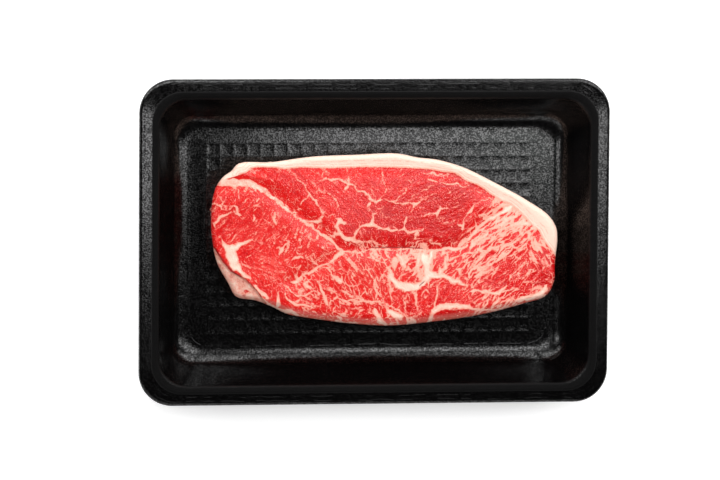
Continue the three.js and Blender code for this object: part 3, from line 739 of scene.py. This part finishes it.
def combed(noise, reach):
    """Mean of the noise along the fibre through each place, up to this many millimetres each way."""
    total = noise.copy()
    steps = round(reach / (2 * MAP_STEP))
    for way in (-1, 1):
        x, y, heading = map_x, map_y, (way * fibre_x, way * fibre_y)
        for _ in range(steps):
            dx, dy = read_map(fibre_x, x, y), read_map(fibre_y, x, y)
            side = np.where(dx * heading[0] + dy * heading[1] < 0, -1, 1)
            heading = (side * dx, side * dy)
            x, y = x + 2 * MAP_STEP * heading[0], y + 2 * MAP_STEP * heading[1]
            total += read_map(noise, x, y)
    return total / total.std()


def warped(x, y):
    """Places shifted by a fraction of a millimetre, so that a drawn vein wanders as a real one."""
    return x + WANDER * read_map(wander_x, x, y), y + WANDER * read_map(wander_y, x, y)


def ranked(values):
    """Each value's place in the order of all of them, from 0 to 1."""
    order = np.empty(values.size)
    order[np.argsort(values, axis=None)] = np.linspace(0, 1, values.size)
    return order.reshape(values.shape)


fibre_x, fibre_y = fibre_directions()
share = blended(np.array(FAT_SHARES)[:, :2], np.array(FAT_SHARES)[:, 2])
streaks = ranked(combed(soft_noise(11, STREAK_SIZE), STREAK_REACH))
flecks = FLECK_STEEPNESS * (streaks - 1 + FLECK_SHARE * share)
threads = combed(soft_noise(12, THREAD_SIZE), THREAD_REACH)
wander_x, wander_y = soft_noise(21, WANDER_SIZE), soft_noise(22, WANDER_SIZE)

cap_depth = distance_to(CAP_LINE, map_x, map_y)
flap_depth = -distance_to(FLAP_CREASE, map_x, map_y)
wandering = read_map(veins, *warped(map_x, map_y))
fat = np.maximum(np.maximum(wandering, flecks), np.maximum(cap_depth, flap_depth - 0.3))
slant = 0.5 + 0.5 * np.cos(2 * (np.arctan2(fibre_y, fibre_x) - LACE_DIRECTION))
for x, y, half_width, half_height in LEAN_ISLANDS:
    inside = 1 - np.hypot((map_x - x) / half_width, (map_y - y) / half_height)
    fat = np.minimum(fat, -inside * min(half_width, half_height))
print(f"fine flecks cover {(flecks > 0).mean():.1%} of the map, all fat {(fat > 0).mean():.1%}")

# %% [markdown]
# ## Tone of the lean
# The lean isn't one red. It is deepest in the large muscle, lighter and more orange where it is finely
# marbled, and the skin that wraps the front edge lets the red shine through. The flap and the start of
# the left seam are a duller, greyer fat. Distances are painted with their sign, because a line at zero
# stays thin and sharp between two points of the mesh.

# %% Tones of the lean, 0 for the deepest red and 1 for the lightest, picked at places of the cut face
# Most tones are the meat's own; the low ones along the right and front edges are painted shade of those
# edges
TONES_WITH_EDGE_SHADE = [
    (5, 10, .08), (30, 12, .06), (38, 18, .1), (15, 2, .08), (-5, 3, .2), (35, 2, .12), (25, 25, .25),
    (-8, 14, .3), (5, 26, .45), (-25, 22, .6), (-36, 27, .35), (-30, 14, .5), (-10, 28, .55),
    (-60, 8, .4), (-60, 22, .6), (-66, 12, .35), (-45, 5, .6), (-35, 0, .6), (-45, -12, .85),
    (-57, -2, .5), (-47, -22, .5), (-30, -15, .65), (-15, -12, .7), (-20, -25, .7), (0, -15, .8),
    (10, -12, .75), (5, -22, .7), (25, -24, .5), (40, -25, .45), (50, -15, .4), (58, -18, .3),
    (68, -14, .4), (76, -14, .15), (79, -18, 0), (72, 0, .55), (50, 2, .6), (60, 8, .6), (45, 14, .4),
    (38, -10, .6), (0, -33, .4), (-20, -32, .5), (20, -35, .3), (36, -33, .1), (60, -27, .4),
]
DULL_SEAM = [(-71, 26), (-58, 26), (-50, 22.8), (-42, 16.4), (-34, 10.4)]
DULL_HALF_WIDTH = 1.8
FILM_REACH = 4.2
FILM_SHARE = 0.85

tone = blended(np.array(TONES_WITH_EDGE_SHADE)[:, :2], np.array(TONES_WITH_EDGE_SHADE)[:, 2])
face_x, face_y = plan[..., 0], plan[..., 1]
face_fat = read_map(fat, face_x, face_y)
face_tone = read_map(tone, face_x, face_y)
face_threads = read_map(threads, face_x, face_y)
face_cap = read_map(cap_depth, face_x, face_y)
dull_seam = DULL_HALF_WIDTH - np.abs(distance_to(DULL_SEAM, face_x, face_y))
face_dull = np.maximum(smoothstep(beyond_crease, 0.2, 0.9), 0.8 * smoothstep(dull_seam, 0, 1.2))
face_film = smoothstep(FILM_REACH - from_edge, 0, FILM_REACH) * smoothstep(-face_y, 18, 30)
face_film = np.where(beyond_crease > 0, 0, FILM_SHARE * face_film)
# Close to each slit a mask is stored that bounds the painted shade of its groove
painted = {
    "fat": face_fat, "tone": face_tone, "threads": face_threads, "cap": face_cap, "film": face_film,
    "dull": face_dull, "slit": slit, "slit_shade_reach": smoothstep(1.3 - np.abs(slit), 0, 0.7),
    "lace": read_map(share, face_x, face_y), "slant": read_map(slant, face_x, face_y),
}
print("painted on the cut face:", ", ".join(painted))

# %% [markdown]
# ## The steak's body
# The sides run down from the border of the cut face and tuck in under the meat, where its weight rounds
# it. They carry the colours of the border down with them, broken by noise, since the same muscles and
# the same cap of fat go through the whole slice.

# %% Steak with its sides and underside
SIDE_FALLS = (0.1, 0.22, 0.35, 0.48, 0.6, 0.73, 0.86, 1)
BOTTOM_TURNS = np.radians((15, 30, 45, 60, 75, 90))
BELLY = STEAK_REST + BOTTOM_ROLL
SIDE_UNEVENNESS = 0.35
SIDE_FILM = 0.6
# How the side reads the map of streaks: its step, the first place, and the stretch that it goes to and fro
SIDE_STEP = 0.4
SIDE_START = -77
SIDE_SPAN = 80
SIDE_LOW = -20


def side_rings(border):
    """Rings of points down from the border: leaning in down to the belly, then a quarter round inwards.
    Soft noise draws the side in by about half a millimetre more, most at half height."""
    before, after = np.roll(border, 1, axis=0), np.roll(border, -1, axis=0)
    inward = np.stack([before[:, 1] - after[:, 1], after[:, 0] - before[:, 0]], axis=1)
    inward /= np.linalg.norm(inward, axis=1)[:, None]
    rings, depths = [], []
    for fall, turn in [(fall, 0) for fall in SIDE_FALLS] + [(1, turn) for turn in BOTTOM_TURNS]:
        fallen = fall * (border[:, 2] - BELLY)
        drop = fallen + BOTTOM_ROLL * math.sin(turn)
        uneven = 1.2 + read_map(wander_x, *border[:, :2].T + drop)
        uneven = SIDE_UNEVENNESS * math.sin(math.pi * fall) * uneven
        tuck = SIDE_LEAN * fallen + BOTTOM_ROLL * (1 - math.cos(turn)) + uneven
        flat = border[:, :2] + inward * tuck[:, None]
        rings.append(np.column_stack([flat, border[:, 2] - drop]))
        depths.append(drop)
    return np.array(rings), np.array(depths)


def make_steak():
    """The cut face's grid, the side's rings and a flat underside, with everything its finish reads."""
    face = np.concatenate([plan, height[..., None]], axis=2)
    index = np.arange(height.size).reshape(height.shape)
    border = grid_border(index)
    rings, depths = side_rings(face.reshape(-1, 3)[border])
    numbers = height.size + np.arange(depths.size).reshape(depths.shape)
    points = np.vstack([face.reshape(-1, 3), rings.reshape(-1, 3), (0, 0, STEAK_REST)])
    quads = np.vstack([grid_faces(index), ring_faces(np.vstack([border, numbers]))])
    steak = make_piece("beef_steak", points, quads, fan_faces(numbers[-1], len(points) - 1))

    along = np.arange(len(border)) * SIDE_STEP + SIDE_START
    to_and_fro = np.abs(along % (2 * SIDE_SPAN) - SIDE_SPAN) - SIDE_SPAN / 2
    streaky = read_map(streaks, to_and_fro, 0.9 * depths + SIDE_LOW)
    started = smoothstep(depths, 0, 3)
    side = {
        name: np.broadcast_to(values.reshape(-1)[border], depths.shape)
        for name, values in painted.items()
    }
    capped = side["cap"] > 0
    broken = (1 - started) * side["fat"] + started * (2 * streaky - 1.2)
    side["fat"] = np.where(capped, side["fat"] + 0.5, broken)
    side["film"] = np.where(capped, side["film"], np.maximum(side["film"], SIDE_FILM * started))
    side["cap"] = side["cap"] + depths
    # The slits' painted shade fades out down the sides
    side["slit_shade_reach"] = side["slit_shade_reach"] * (1 - started)
    for name, values in painted.items():
        everywhere = np.concatenate([values.ravel(), side[name].ravel(), [side[name][-1].mean()]])
        paint(steak, name, np.clip(everywhere, -4, 8))
    return steak


steak = make_steak()

# %% [markdown]
# ## Tools for materials
# Materials are node trees. A short helper adds a node and fills its inputs, and colours are written as
# the eye sees them, 0 to 255, and turned into light.

# %% Tools for materials
def light(red, green, blue):
    """A screen colour, 0 to 255, as the linear colour that shaders use."""
    shares = np.array((red, green, blue)) / 255
    linear = np.where(shares > 0.04045, ((shares + 0.055) / 1.055) ** 2.4, shares / 12.92)
    return (*linear.tolist(), 1)


def add(tree, kind, inputs=None, **settings):
    """Adds a node with these settings, and gives each input a value or links a socket to it."""
    node = tree.nodes.new(kind)
    for name, value in settings.items():
        setattr(node, name, value)
    for name, value in (inputs or {}).items():
        if isinstance(value, bpy.types.NodeSocket):
            tree.links.new(value, node.inputs[name])
        else:
            node.inputs[name].default_value = value
    return node


def maths(tree, operation, *numbers):
    """One sum as a node: the operation on one, two or three numbers."""
    return add(tree, "ShaderNodeMath", dict(enumerate(numbers)), operation=operation).outputs[0]


def mix(tree, share, first, second):
    """The blend of two colours."""
    node = add(tree, "ShaderNodeMix", {0: share, 6: first, 7: second}, data_type="RGBA")
    return node.outputs[2]


def between(tree, value, low, high, start=0.0, end=1.0):
    """A smooth rise from start to end while a value goes from low to high."""
    inputs = {"Value": value, "From Min": low, "From Max": high, "To Min": start, "To Max": end}
    return add(tree, "ShaderNodeMapRange", inputs, interpolation_type="SMOOTHSTEP").outputs[0]


def varied(tree, base, wave, amount):
    """A number raised and lowered by noise, by half the amount each way at most."""
    return maths(tree, "MULTIPLY_ADD", maths(tree, "SUBTRACT", wave, 0.5), amount, base)


def noise_at(tree, scale, detail):
    """Noise on the piece's own coordinates, with this many spots per metre, as a number or a colour."""
    place = add(tree, "ShaderNodeTexCoord").outputs["Object"]
    return add(tree, "ShaderNodeTexNoise", {"Vector": place, "Scale": scale, "Detail": detail}).outputs


def noise(tree, size, detail=2.0):
    """Noise with spots of about this size in millimetres."""
    return noise_at(tree, 1 / (size * MM), detail)["Fac"]


def attribute(tree, name):
    """A number painted on the piece's points."""
    return add(tree, "ShaderNodeAttribute", attribute_name=name).outputs["Fac"]


def new_material(name):
    """An empty material, its node tree and its Principled shader."""
    material = bpy.data.materials.new(name)
    material.use_nodes = True
    tree = material.node_tree
    return material, tree, tree.nodes["Principled BSDF"]


# %% [markdown]
# ## Effects that both finishes use
# Fine grain and thin wavy lines are on both pieces: foam has its cells and its creases, and meat has its
# wet fibres and the layers in its fat. Each effect is one node group, placed with its own values.

# %% Node groups for grain and wavy lines
COARSE_TIMES = 3.7
BREAKS_PER_WAVE = 2.3


def new_group(name, inputs, outputs):
    """A node group with named number inputs and outputs."""
    group = bpy.data.node_groups.new(name, "ShaderNodeTree")
    for label, value in inputs.items():
        socket = group.interface.new_socket(label, in_out="INPUT", socket_type="NodeSocketFloat")
        socket.default_value = value
    for label in outputs:
        group.interface.new_socket(label, in_out="OUTPUT", socket_type="NodeSocketFloat")
    return group, group.nodes.new("NodeGroupInput").outputs, group.nodes.new("NodeGroupOutput").inputs


def make_grain_group():
    """Height of a grainy skin: fine noise plus coarser noise, each by its own amount."""
    group, given, out = new_group("Grain", {"Size": 1.0, "Fine": 1.0, "Coarse": 0.5}, ["Height"])
    scale = maths(group, "DIVIDE", 1 / MM, given["Size"])
    fine = noise_at(group, scale, 1.0)["Fac"]
    coarse = noise_at(group, maths(group, "DIVIDE", scale, COARSE_TIMES), 2.0)["Fac"]
    coarse = maths(group, "MULTIPLY", coarse, given["Coarse"])
    total = maths(group, "MULTIPLY_ADD", fine, given["Fine"], coarse)
    group.links.new(total, out["Height"])
    return group


def make_line_group():
    """1 on a thin line at a painted distance and 0 away from it. Noise bends the line and breaks it."""
    inputs = {"Distance": 0.0, "At": 0.0, "Width": 0.3, "Wobble": 1.0, "Wave": 12.0, "Gaps": 0.5}
    group, given, out = new_group("Wavy line", inputs, ["Mask"])
    scale = maths(group, "DIVIDE", 1 / MM, given["Wave"])
    wave = noise_at(group, scale, 4.0)["Fac"]
    shifted = maths(group, "SUBTRACT", given["Distance"], given["At"])
    bent = maths(group, "MULTIPLY_ADD", maths(group, "SUBTRACT", wave, 0.5), given["Wobble"], shifted)
    away = maths(group, "DIVIDE", maths(group, "ABSOLUTE", bent), given["Width"])
    line = between(group, away, 0.0, 1.0, 1.0, 0.0)
    breaks = noise_at(group, maths(group, "MULTIPLY", scale, BREAKS_PER_WAVE), 2.0)["Fac"]
    kept = between(group, maths(group, "SUBTRACT", breaks, given["Gaps"]), -0.06, 0.04)
    group.links.new(maths(group, "MULTIPLY", line, kept), out["Mask"])
    return group


GRAIN = make_grain_group()
WAVY_LINE = make_line_group()
print("node groups:", GRAIN.name, "and", WAVY_LINE.name)


def grain(tree, size, fine, coarse):
    """The height of a grainy skin."""
    inputs = {"Size": size, "Fine": fine, "Coarse": coarse}
    return add(tree, "ShaderNodeGroup", inputs, node_tree=GRAIN).outputs["Height"]


def wavy_lines(tree, distance, wave, lines):
    """Mask of several wavy lines, each given by its place, half width, wobble and gaps."""
    mask = None
    for at, width, wobble, gaps in lines:
        inputs = {"Distance": distance, "At": at, "Width": width, "Wobble": wobble, "Wave": wave}
        line = add(tree, "ShaderNodeGroup", inputs | {"Gaps": gaps}, node_tree=WAVY_LINE).outputs["Mask"]
        mask = line if mask is None else maths(tree, "MAXIMUM", mask, line)
    return mask


# %% [markdown]
# ## Black foam
# The foam's skin is smooth but for its cells, which are about half a millimetre across. As a bump they
# break every reflection into sparkling grain. A clear coat that lies only on the cells that stand out adds
# bright points, which stay crisp where a lamp is mirrored. Pressing the tray leaves fine creases along its
# rim and wall, and a dull lip between the two.

# %% Foam finish
CELL_SIZE = 0.7
CELL_DEPTH = 0.08
CREASE_HEIGHT = 0.8
CREASE_WAVE = 14.0
CREASES = (
    (21.4, 0.3, 3.0, 0.5), (19.6, 0.25, 2.4, 0.55), (17.3, 0.3, 0.6, 0.42), (7.4, 0.3, 4.0, 0.5),
    (-0.4, 0.3, 1.4, 0.5),
)
FOAM_BLACK = (0.0008, 0.0007, 0.0008, 1)
FOAM_GREY = (0.0014, 0.0012, 0.0013, 1)
FOAM_PATCH_SIZE = 9.0
FOAM_ROUGHNESS = (0.12, 0.23)
LIP_ROUGHNESS = 0.8
LIP_START, LIP_END = (14.2, 15.8), (17.8, 18.6)
COATED_CELLS = (0.61, 0.78)


def make_foam():
    """Near-black foam: cells and creases as bump, a coat on the raised cells, and a rough lip. Distances
    are from the floor's edge."""
    material, tree, shader = new_material("black_foam")
    across = attribute(tree, "across")
    creases = wavy_lines(tree, across, CREASE_WAVE, CREASES)
    cells = grain(tree, CELL_SIZE, 1.0, 0.3)
    raised = maths(tree, "MULTIPLY_ADD", creases, CREASE_HEIGHT, cells)
    bump = add(tree, "ShaderNodeBump", {"Height": raised, "Strength": 1.0, "Distance": CELL_DEPTH * MM})
    tree.links.new(bump.outputs[0], shader.inputs["Normal"])
    colour = mix(tree, noise(tree, FOAM_PATCH_SIZE, detail=3.0), FOAM_BLACK, FOAM_GREY)
    tree.links.new(colour, shader.inputs["Base Color"])
    shader.inputs["Specular IOR Level"].default_value = 0.18

    lip = between(tree, across, *LIP_START)
    lip = maths(tree, "MULTIPLY", lip, between(tree, across, *LIP_END, 1.0, 0.0))
    skin = between(tree, cells, 0.45, 0.9, *FOAM_ROUGHNESS)
    tree.links.new(maths(tree, "MULTIPLY_ADD", lip, LIP_ROUGHNESS, skin), shader.inputs["Roughness"])
    coated = between(tree, cells, *COATED_CELLS)
    coated = maths(tree, "MULTIPLY", coated, maths(tree, "SUBTRACT", 1.0, lip))
    tree.links.new(coated, shader.inputs["Coat Weight"])
    shader.inputs["Coat Roughness"].default_value = 0.2
    shader.inputs["Coat IOR"].default_value = 1.5
    return material


foam = make_foam()
print(f"{foam.name}: {len(foam.node_tree.nodes)} nodes, {len(CREASES)} creases")

# %% [markdown]
# ## Raw beef
# The painted field says how deep in fat a point is. Fine noise frays its edge before it becomes a colour,
# so the veins end in the small teeth that fat has between fibres. Where the meat is fatty, the lean breaks
# up into small long islands: cells of noise stretched along the fibres, with thin fat on their borders.

# %% Field of fat for the finish
LACE_BEND = 3.6
LACE_BEND_REACH = 4.0
STEEP_LACE = (LACE_DIRECTION + 1.25, 4.6, 2.2)
SLANTED_LACE = (LACE_DIRECTION, 7.5, 1.9)
LACE_STEEPNESS = 3.4
LACE_WIDTH, LACE_WIDTH_BY_SHARE, LACE_WIDTH_BY_PATCH = -0.148, 0.24, 0.28


def lace_distance(tree, angle, along, across):
    """Distance from the borders between islands: cells of noise drawn out along an angle, with their
    size along and across it in millimetres. It is 0 on a border, in shares of a cell."""
    place = add(tree, "ShaderNodeTexCoord").outputs["Object"]
    bend, reach = noise_at(tree, 1 / (LACE_BEND * MM), 3.0)["Color"], LACE_BEND_REACH * MM
    inputs = {0: bend, 1: (reach, reach, 0), 2: place}
    bent = add(tree, "ShaderNodeVectorMath", inputs, operation="MULTIPLY_ADD").outputs[0]
    inputs = {"Vector": bent, "Rotation": (0, 0, angle), "Scale": (along * MM, across * MM, 3 * MM)}
    turned = add(tree, "ShaderNodeMapping", inputs, vector_type="TEXTURE").outputs[0]
    cells = add(tree, "ShaderNodeTexVoronoi", {"Vector": turned, "Scale": 1.0}, feature="DISTANCE_TO_EDGE")
    return cells.outputs["Distance"]


def fat_field(tree, medium, fine, patches):
    """The painted field with a frayed edge, or the lace where that is higher. The lace blends two
    directions of islands, and its lines are as wide as the painted share of fat and the patches say."""
    frayed = varied(tree, varied(tree, attribute(tree, "fat"), medium, 0.7), fine, 0.5)
    steep, slanted = lace_distance(tree, *STEEP_LACE), lace_distance(tree, *SLANTED_LACE)
    turn = maths(tree, "SUBTRACT", slanted, steep)
    border = maths(tree, "MULTIPLY_ADD", turn, attribute(tree, "slant"), steep)
    wide = maths(tree, "MULTIPLY_ADD", attribute(tree, "lace"), LACE_WIDTH_BY_SHARE, LACE_WIDTH)
    wide = maths(tree, "MULTIPLY_ADD", patches, LACE_WIDTH_BY_PATCH, wide)
    lace = maths(tree, "MULTIPLY", maths(tree, "SUBTRACT", wide, border), LACE_STEEPNESS)
    return maths(tree, "MAXIMUM", frayed, lace)


print("islands lie at", [round(math.degrees(lace[0])) for lace in (STEEP_LACE, SLANTED_LACE)], "degrees")

# %% [markdown]
# ## Colours of the beef
# Thin fat is pink because the lean shines through it, and thick fat is cream. A ramp of a few colours says
# this in one step: it turns a number, such as the depth in fat, into a colour.

# %% Colours of lean and fat
LEAN_COLOURS = (
    (0.0, light(187, 12, 14)), (0.35, light(214, 22, 22)), (0.7, light(228, 40, 35)),
    (1.0, light(238, 82, 72)),
)
LEAN_BESIDE_FAT = light(196, 26, 24)
# Pale specks on the lean: partly fine fat, partly painted wet glints
SPECK_AND_GLINT_COLOUR = light(252, 180, 168)
FAT_COLOURS = (
    (0.1, light(238, 130, 112)), (0.3, light(243, 160, 140)), (0.6, light(244, 178, 158)),
    (1.0, light(248, 212, 194)),
)
ROSY_FAT = light(246, 176, 156)
CAP_LAYERS = ((0.05, 0.24, 0.4, 0.36), (0.8, 0.2, 0.4, 0.42), (1.7, 0.24, 0.4, 0.48), (3.2, 0.3, 0.4, 0.5))
CAP_LAYER_COLOUR = light(222, 156, 134)
CAP_LAYER_WAVE = 9.0
DULL_FAT_COLOURS = ((0.38, light(214, 76, 66)), (0.47, light(250, 160, 138)), (0.6, light(255, 216, 198)))
SKIN_COLOURS = ((0.22, light(248, 122, 104)), (0.45, light(254, 168, 146)), (0.8, light(255, 224, 206)))
# Dark line in each slit: painted shade in its narrow groove
SLIT_SHADE_COLOUR = light(140, 18, 18)


def ramp(tree, value, stops):
    """A colour that follows a value through stops of place and colour."""
    node = add(tree, "ShaderNodeValToRGB", {"Fac": value})
    elements = node.color_ramp.elements
    while len(elements) < len(stops):
        elements.new(0.5)
    for element, (place, colour) in zip(elements, stops):
        element.position = place
        element.color = colour
    return node.outputs["Color"]


def lean_colour(tree, field, threads, fine, patches):
    """Red by the painted tone, darker close to fat, with pale specks drawn out along the fibres: partly
    fine fat and partly painted wet glints.
    """
    redness = maths(tree, "MULTIPLY_ADD", threads, 0.1, attribute(tree, "tone"))
    redness = varied(tree, varied(tree, redness, patches, 0.7), fine, 0.7)
    beside = between(tree, field, -0.7, -0.05, 0.0, 0.25)
    colour = mix(tree, beside, ramp(tree, redness, LEAN_COLOURS), LEAN_BESIDE_FAT)
    # Pale specks along the fibres, partly fine fat and partly painted wet glints
    speck_and_glint = between(tree, maths(tree, "MULTIPLY_ADD", threads, 0.03, fine), 0.635, 0.69, 0.0, 0.7)
    return mix(tree, speck_and_glint, colour, SPECK_AND_GLINT_COLOUR)


def fat_colour(tree, field, medium, fine, patches):
    """Pink to cream by the depth in fat, rosy in patches, in layers along the cap, mottled where dull."""
    cap = attribute(tree, "cap")
    rosy = between(tree, cap, -0.4, 0.3, 0.45, 0.0)
    rosy = maths(tree, "MULTIPLY", between(tree, patches, 0.4, 0.62), rosy)
    colour = mix(tree, rosy, ramp(tree, field, FAT_COLOURS), ROSY_FAT)
    layers = maths(tree, "MULTIPLY", wavy_lines(tree, cap, CAP_LAYER_WAVE, CAP_LAYERS), 0.6)
    colour = mix(tree, layers, colour, CAP_LAYER_COLOUR)
    mottled = maths(tree, "MULTIPLY_ADD", patches, 0.5, maths(tree, "MULTIPLY", medium, 0.3))
    dull_colour = ramp(tree, maths(tree, "MULTIPLY_ADD", fine, 0.2, mottled), DULL_FAT_COLOURS)
    return mix(tree, maths(tree, "MULTIPLY", attribute(tree, "dull"), 0.8), colour, dull_colour)


print(f"{len(LEAN_COLOURS)} colours of lean, {len(FAT_COLOURS)} of fat, {len(SKIN_COLOURS)} of skin")

# %% [markdown]
# ## Putting the beef together
# The edge between lean and fat is a narrow band of the field, so it stays sharp but not hard. Over both
# lies the skin of the front edge, and the slits are painted dark as the shade in their grooves. Meat is
# wet: its roughness is low, a little higher on fat, and a fine bump breaks the lamps' reflections.

# %% Beef finish
MEDIUM_SIZE, FINE_SIZE, PATCH_SIZE = 0.9, 0.42, 3.5
FAT_EDGE = (-0.07, 0.24)
WET_GRAIN_SIZE = 0.7
BEEF_BUMP = 0.19
LEAN_ROUGHNESS, ROUGHER_ON_FAT = 0.13, 0.16


def make_beef():
    """Lean and fat by the field, the skin and the slits' painted shade over them, and a moist bumpy
    surface.
    """
    material, tree, shader = new_material("raw_beef")
    threads = attribute(tree, "threads")
    medium, fine = noise(tree, MEDIUM_SIZE), noise(tree, FINE_SIZE)
    patches = noise(tree, PATCH_SIZE, detail=3.0)
    field = fat_field(tree, medium, fine, patches)
    is_fat = between(tree, field, *FAT_EDGE)
    lean = lean_colour(tree, field, threads, fine, patches)
    colour = mix(tree, is_fat, lean, fat_colour(tree, field, medium, fine, patches))
    skin = maths(tree, "MULTIPLY_ADD", is_fat, 0.45, maths(tree, "MULTIPLY", medium, 0.6))
    skinned = maths(tree, "MULTIPLY", attribute(tree, "film"), 0.75)
    colour = mix(tree, skinned, colour, ramp(tree, skin, SKIN_COLOURS))
    # Painted shade: the slits' grooves are darkened in the colour
    slit_shade = between(tree, maths(tree, "ABSOLUTE", attribute(tree, "slit")), 0.08, 0.42, 0.8, 0.0)
    slit_shade = maths(tree, "MULTIPLY", slit_shade, attribute(tree, "slit_shade_reach"))
    tree.links.new(mix(tree, slit_shade, colour, SLIT_SHADE_COLOUR), shader.inputs["Base Color"])

    wet = grain(tree, WET_GRAIN_SIZE, 1.0, 0.7)
    relief = maths(tree, "MULTIPLY_ADD", between(tree, field, -0.4, 0.5), 0.5, wet)
    relief = maths(tree, "MULTIPLY_ADD", threads, 0.08, relief)
    bump = add(tree, "ShaderNodeBump", {"Height": relief, "Strength": 0.7, "Distance": BEEF_BUMP * MM})
    tree.links.new(bump.outputs[0], shader.inputs["Normal"])
    rough = maths(tree, "MULTIPLY_ADD", is_fat, ROUGHER_ON_FAT, LEAN_ROUGHNESS)
    tree.links.new(rough, shader.inputs["Roughness"])
    shader.inputs["Specular IOR Level"].default_value = 0.3
    return material


beef = make_beef()
print(f"{beef.name}: {len(beef.node_tree.nodes)} nodes")

# %% [markdown]
# ## Taking the CAD pieces' places
# Each surface stands for its CAD node, hides it, rides on the one body and takes the finish made for it
# here.

# %% Place and finish the pieces
for piece, material, node, slot in ((tray, foam, "tray", "foam"), (steak, beef, "steak", "meat")):
    piece.data.materials.append(material)
    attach(piece, "root")
    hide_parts(node)
    print(piece.name, "stands for", node)

# %% [markdown]
# ## Paper floor
# The floor is a plain white sheet that glows a little, as on a light table, so that the shadow round the
# tray stays pale.

# %% Paper floor
FLOOR_HALF = 2.0
PAPER_GLOW = 0.55

floor_mesh = bpy.data.meshes.new("paper_floor")
corners = [(FLOOR_HALF * x, FLOOR_HALF * y, 0) for x, y in ((-1, -1), (1, -1), (1, 1), (-1, 1))]
floor_mesh.from_pydata(corners, [], [(0, 1, 2, 3)])
floor = bpy.data.objects.new("paper_floor", floor_mesh)
bpy.context.collection.objects.link(floor)
paper, _, paper_shader = new_material("white_paper")
paper_shader.inputs["Base Color"].default_value = (0.93, 0.93, 0.93, 1)
paper_shader.inputs["Roughness"].default_value = 0.9
paper_shader.inputs["Specular IOR Level"].default_value = 0.1
paper_shader.inputs["Emission Color"].default_value = (1, 1, 1, 1)
paper_shader.inputs["Emission Strength"].default_value = PAPER_GLOW
floor_mesh.materials.append(paper)
print(f"{floor.name}: {2 * FLOOR_HALF:.0f} m square")

# %% [markdown]
# ## Lamps
# Black foam shows only what it mirrors, so each lamp's size and place decide which parts gleam. A strip
# above the tray is seen in the back of its floor, and one beside it on each side in the side rims. Two
# lamps behind the tray and two higher ones are seen in the bend at the front wall's foot, with a gap
# between left and right that keeps the middle of the gleam narrow. A wide dim lamp in front only keeps the
# near side of the meat from going black.

# %% Lamps and world
# Each lamp's name, its place and the place that it faces in metres, its size and its brightness. A strip
# faces 0.1 mm behind the place straight below it, so that its long side has a definite direction.
LAMPS = (
    ("middle_strip", (0.095, 0.06, 0.36), (0.095, 0.0601, 0.0), (0.2, 0.136), 5.0),
    ("left_strip", (-0.23, 0.022, 0.36), (-0.23, 0.0221, 0.0), (0.2, 0.1), 5.0),
    ("right_strip", (0.33, 0.022, 0.36), (0.33, 0.0221, 0.0), (0.2, 0.1), 5.0),
    ("back_left_light", (-0.5, 0.62, 0.36), (-0.5, 0.0, 0.02), (1.1, 0.42), 4.4),
    ("back_right_light", (0.71, 0.62, 0.36), (0.71, 0.0, 0.02), (1.06, 0.42), 4.4),
    ("high_left_light", (-0.17, 0.63, 0.8), (-0.17, 0.0, 0.02), (0.5, 0.2), 3.4),
    ("high_right_light", (0.45, 0.63, 0.8), (0.45, 0.0, 0.02), (0.52, 0.2), 3.4),
    ("front_fill", (-0.3, -1.0, 0.5), (0.0, 0.0, 0.0), (1.6, 0.6), 1.4),
)
ROOM_BRIGHTNESS = 0.05


def soft_light(name, place, aim, size, brightness):
    """A rectangular light at a place, turned to face another. Its power is its brightness times its area
    times pi, so a larger lamp isn't a dimmer one."""
    lamp = bpy.data.lights.new(name, "AREA")
    lamp.shape = "RECTANGLE"
    lamp.size, lamp.size_y = size
    lamp.energy = brightness * size[0] * size[1] * math.pi
    made = bpy.data.objects.new(name, lamp)
    made.location = place
    made.rotation_euler = (Vector(aim) - Vector(place)).to_track_quat("-Z", "Y").to_euler()
    made.visible_camera = False
    bpy.context.collection.objects.link(made)


for lamp in LAMPS:
    soft_light(*lamp)
world = bpy.data.worlds.new("dim_room")
world.use_nodes = True
background = world.node_tree.nodes["Background"]
background.inputs["Color"].default_value = (1, 1, 1, 1)
background.inputs["Strength"].default_value = ROOM_BRIGHTNESS
bpy.context.scene.world = world
bpy.context.scene.view_settings.view_transform = "Standard"
print(len(LAMPS), "lamps")

# %% [markdown]
# ## Camera
# The photo is taken from nearly straight above with a long lens: the tray's edges stay parallel. The
# camera stands a little to the left and back, which the shift of the floor against the rim tells.

# %% Camera
CAMERA_WAY = Vector((-0.14, 0.096, 1.0)).normalized()
CAMERA_DISTANCE = 2.4
CAMERA_AIM = Vector((-6.85, 0.9, 24.0)) * MM
FRAME_WIDTH = 318.4 * MM


def camera_axes(back):
    """Right and up of a camera that looks along -back. Both table axes are laid into the picture plane,
    and the small skew between them is shared by going through their bisectors."""
    right, up = (axis - axis.dot(back) * back for axis in (Vector((1, 0, 0)), Vector((0, 1, 0))))
    right, up = right.normalized(), up.normalized()
    one, other = (right + up).normalized(), (right - up).normalized()
    return (one + other).normalized(), (one - other).normalized()


lens = bpy.data.cameras.new("photo_camera")
lens.sensor_width = 36.0
lens.lens = lens.sensor_width * CAMERA_DISTANCE / FRAME_WIDTH
lens.clip_start, lens.clip_end = 0.1, 20
camera = bpy.data.objects.new("photo_camera", lens)
right, up = camera_axes(CAMERA_WAY)
camera.matrix_world = Matrix.Translation(CAMERA_AIM + CAMERA_DISTANCE * CAMERA_WAY) @ Matrix(
    (right, up, CAMERA_WAY)
).transposed().to_4x4()
bpy.context.collection.objects.link(camera)
bpy.context.scene.camera = camera
print(f"lens {lens.lens:.0f} mm at {CAMERA_DISTANCE} m")

# %% Finish
bpy.context.view_layer.update()
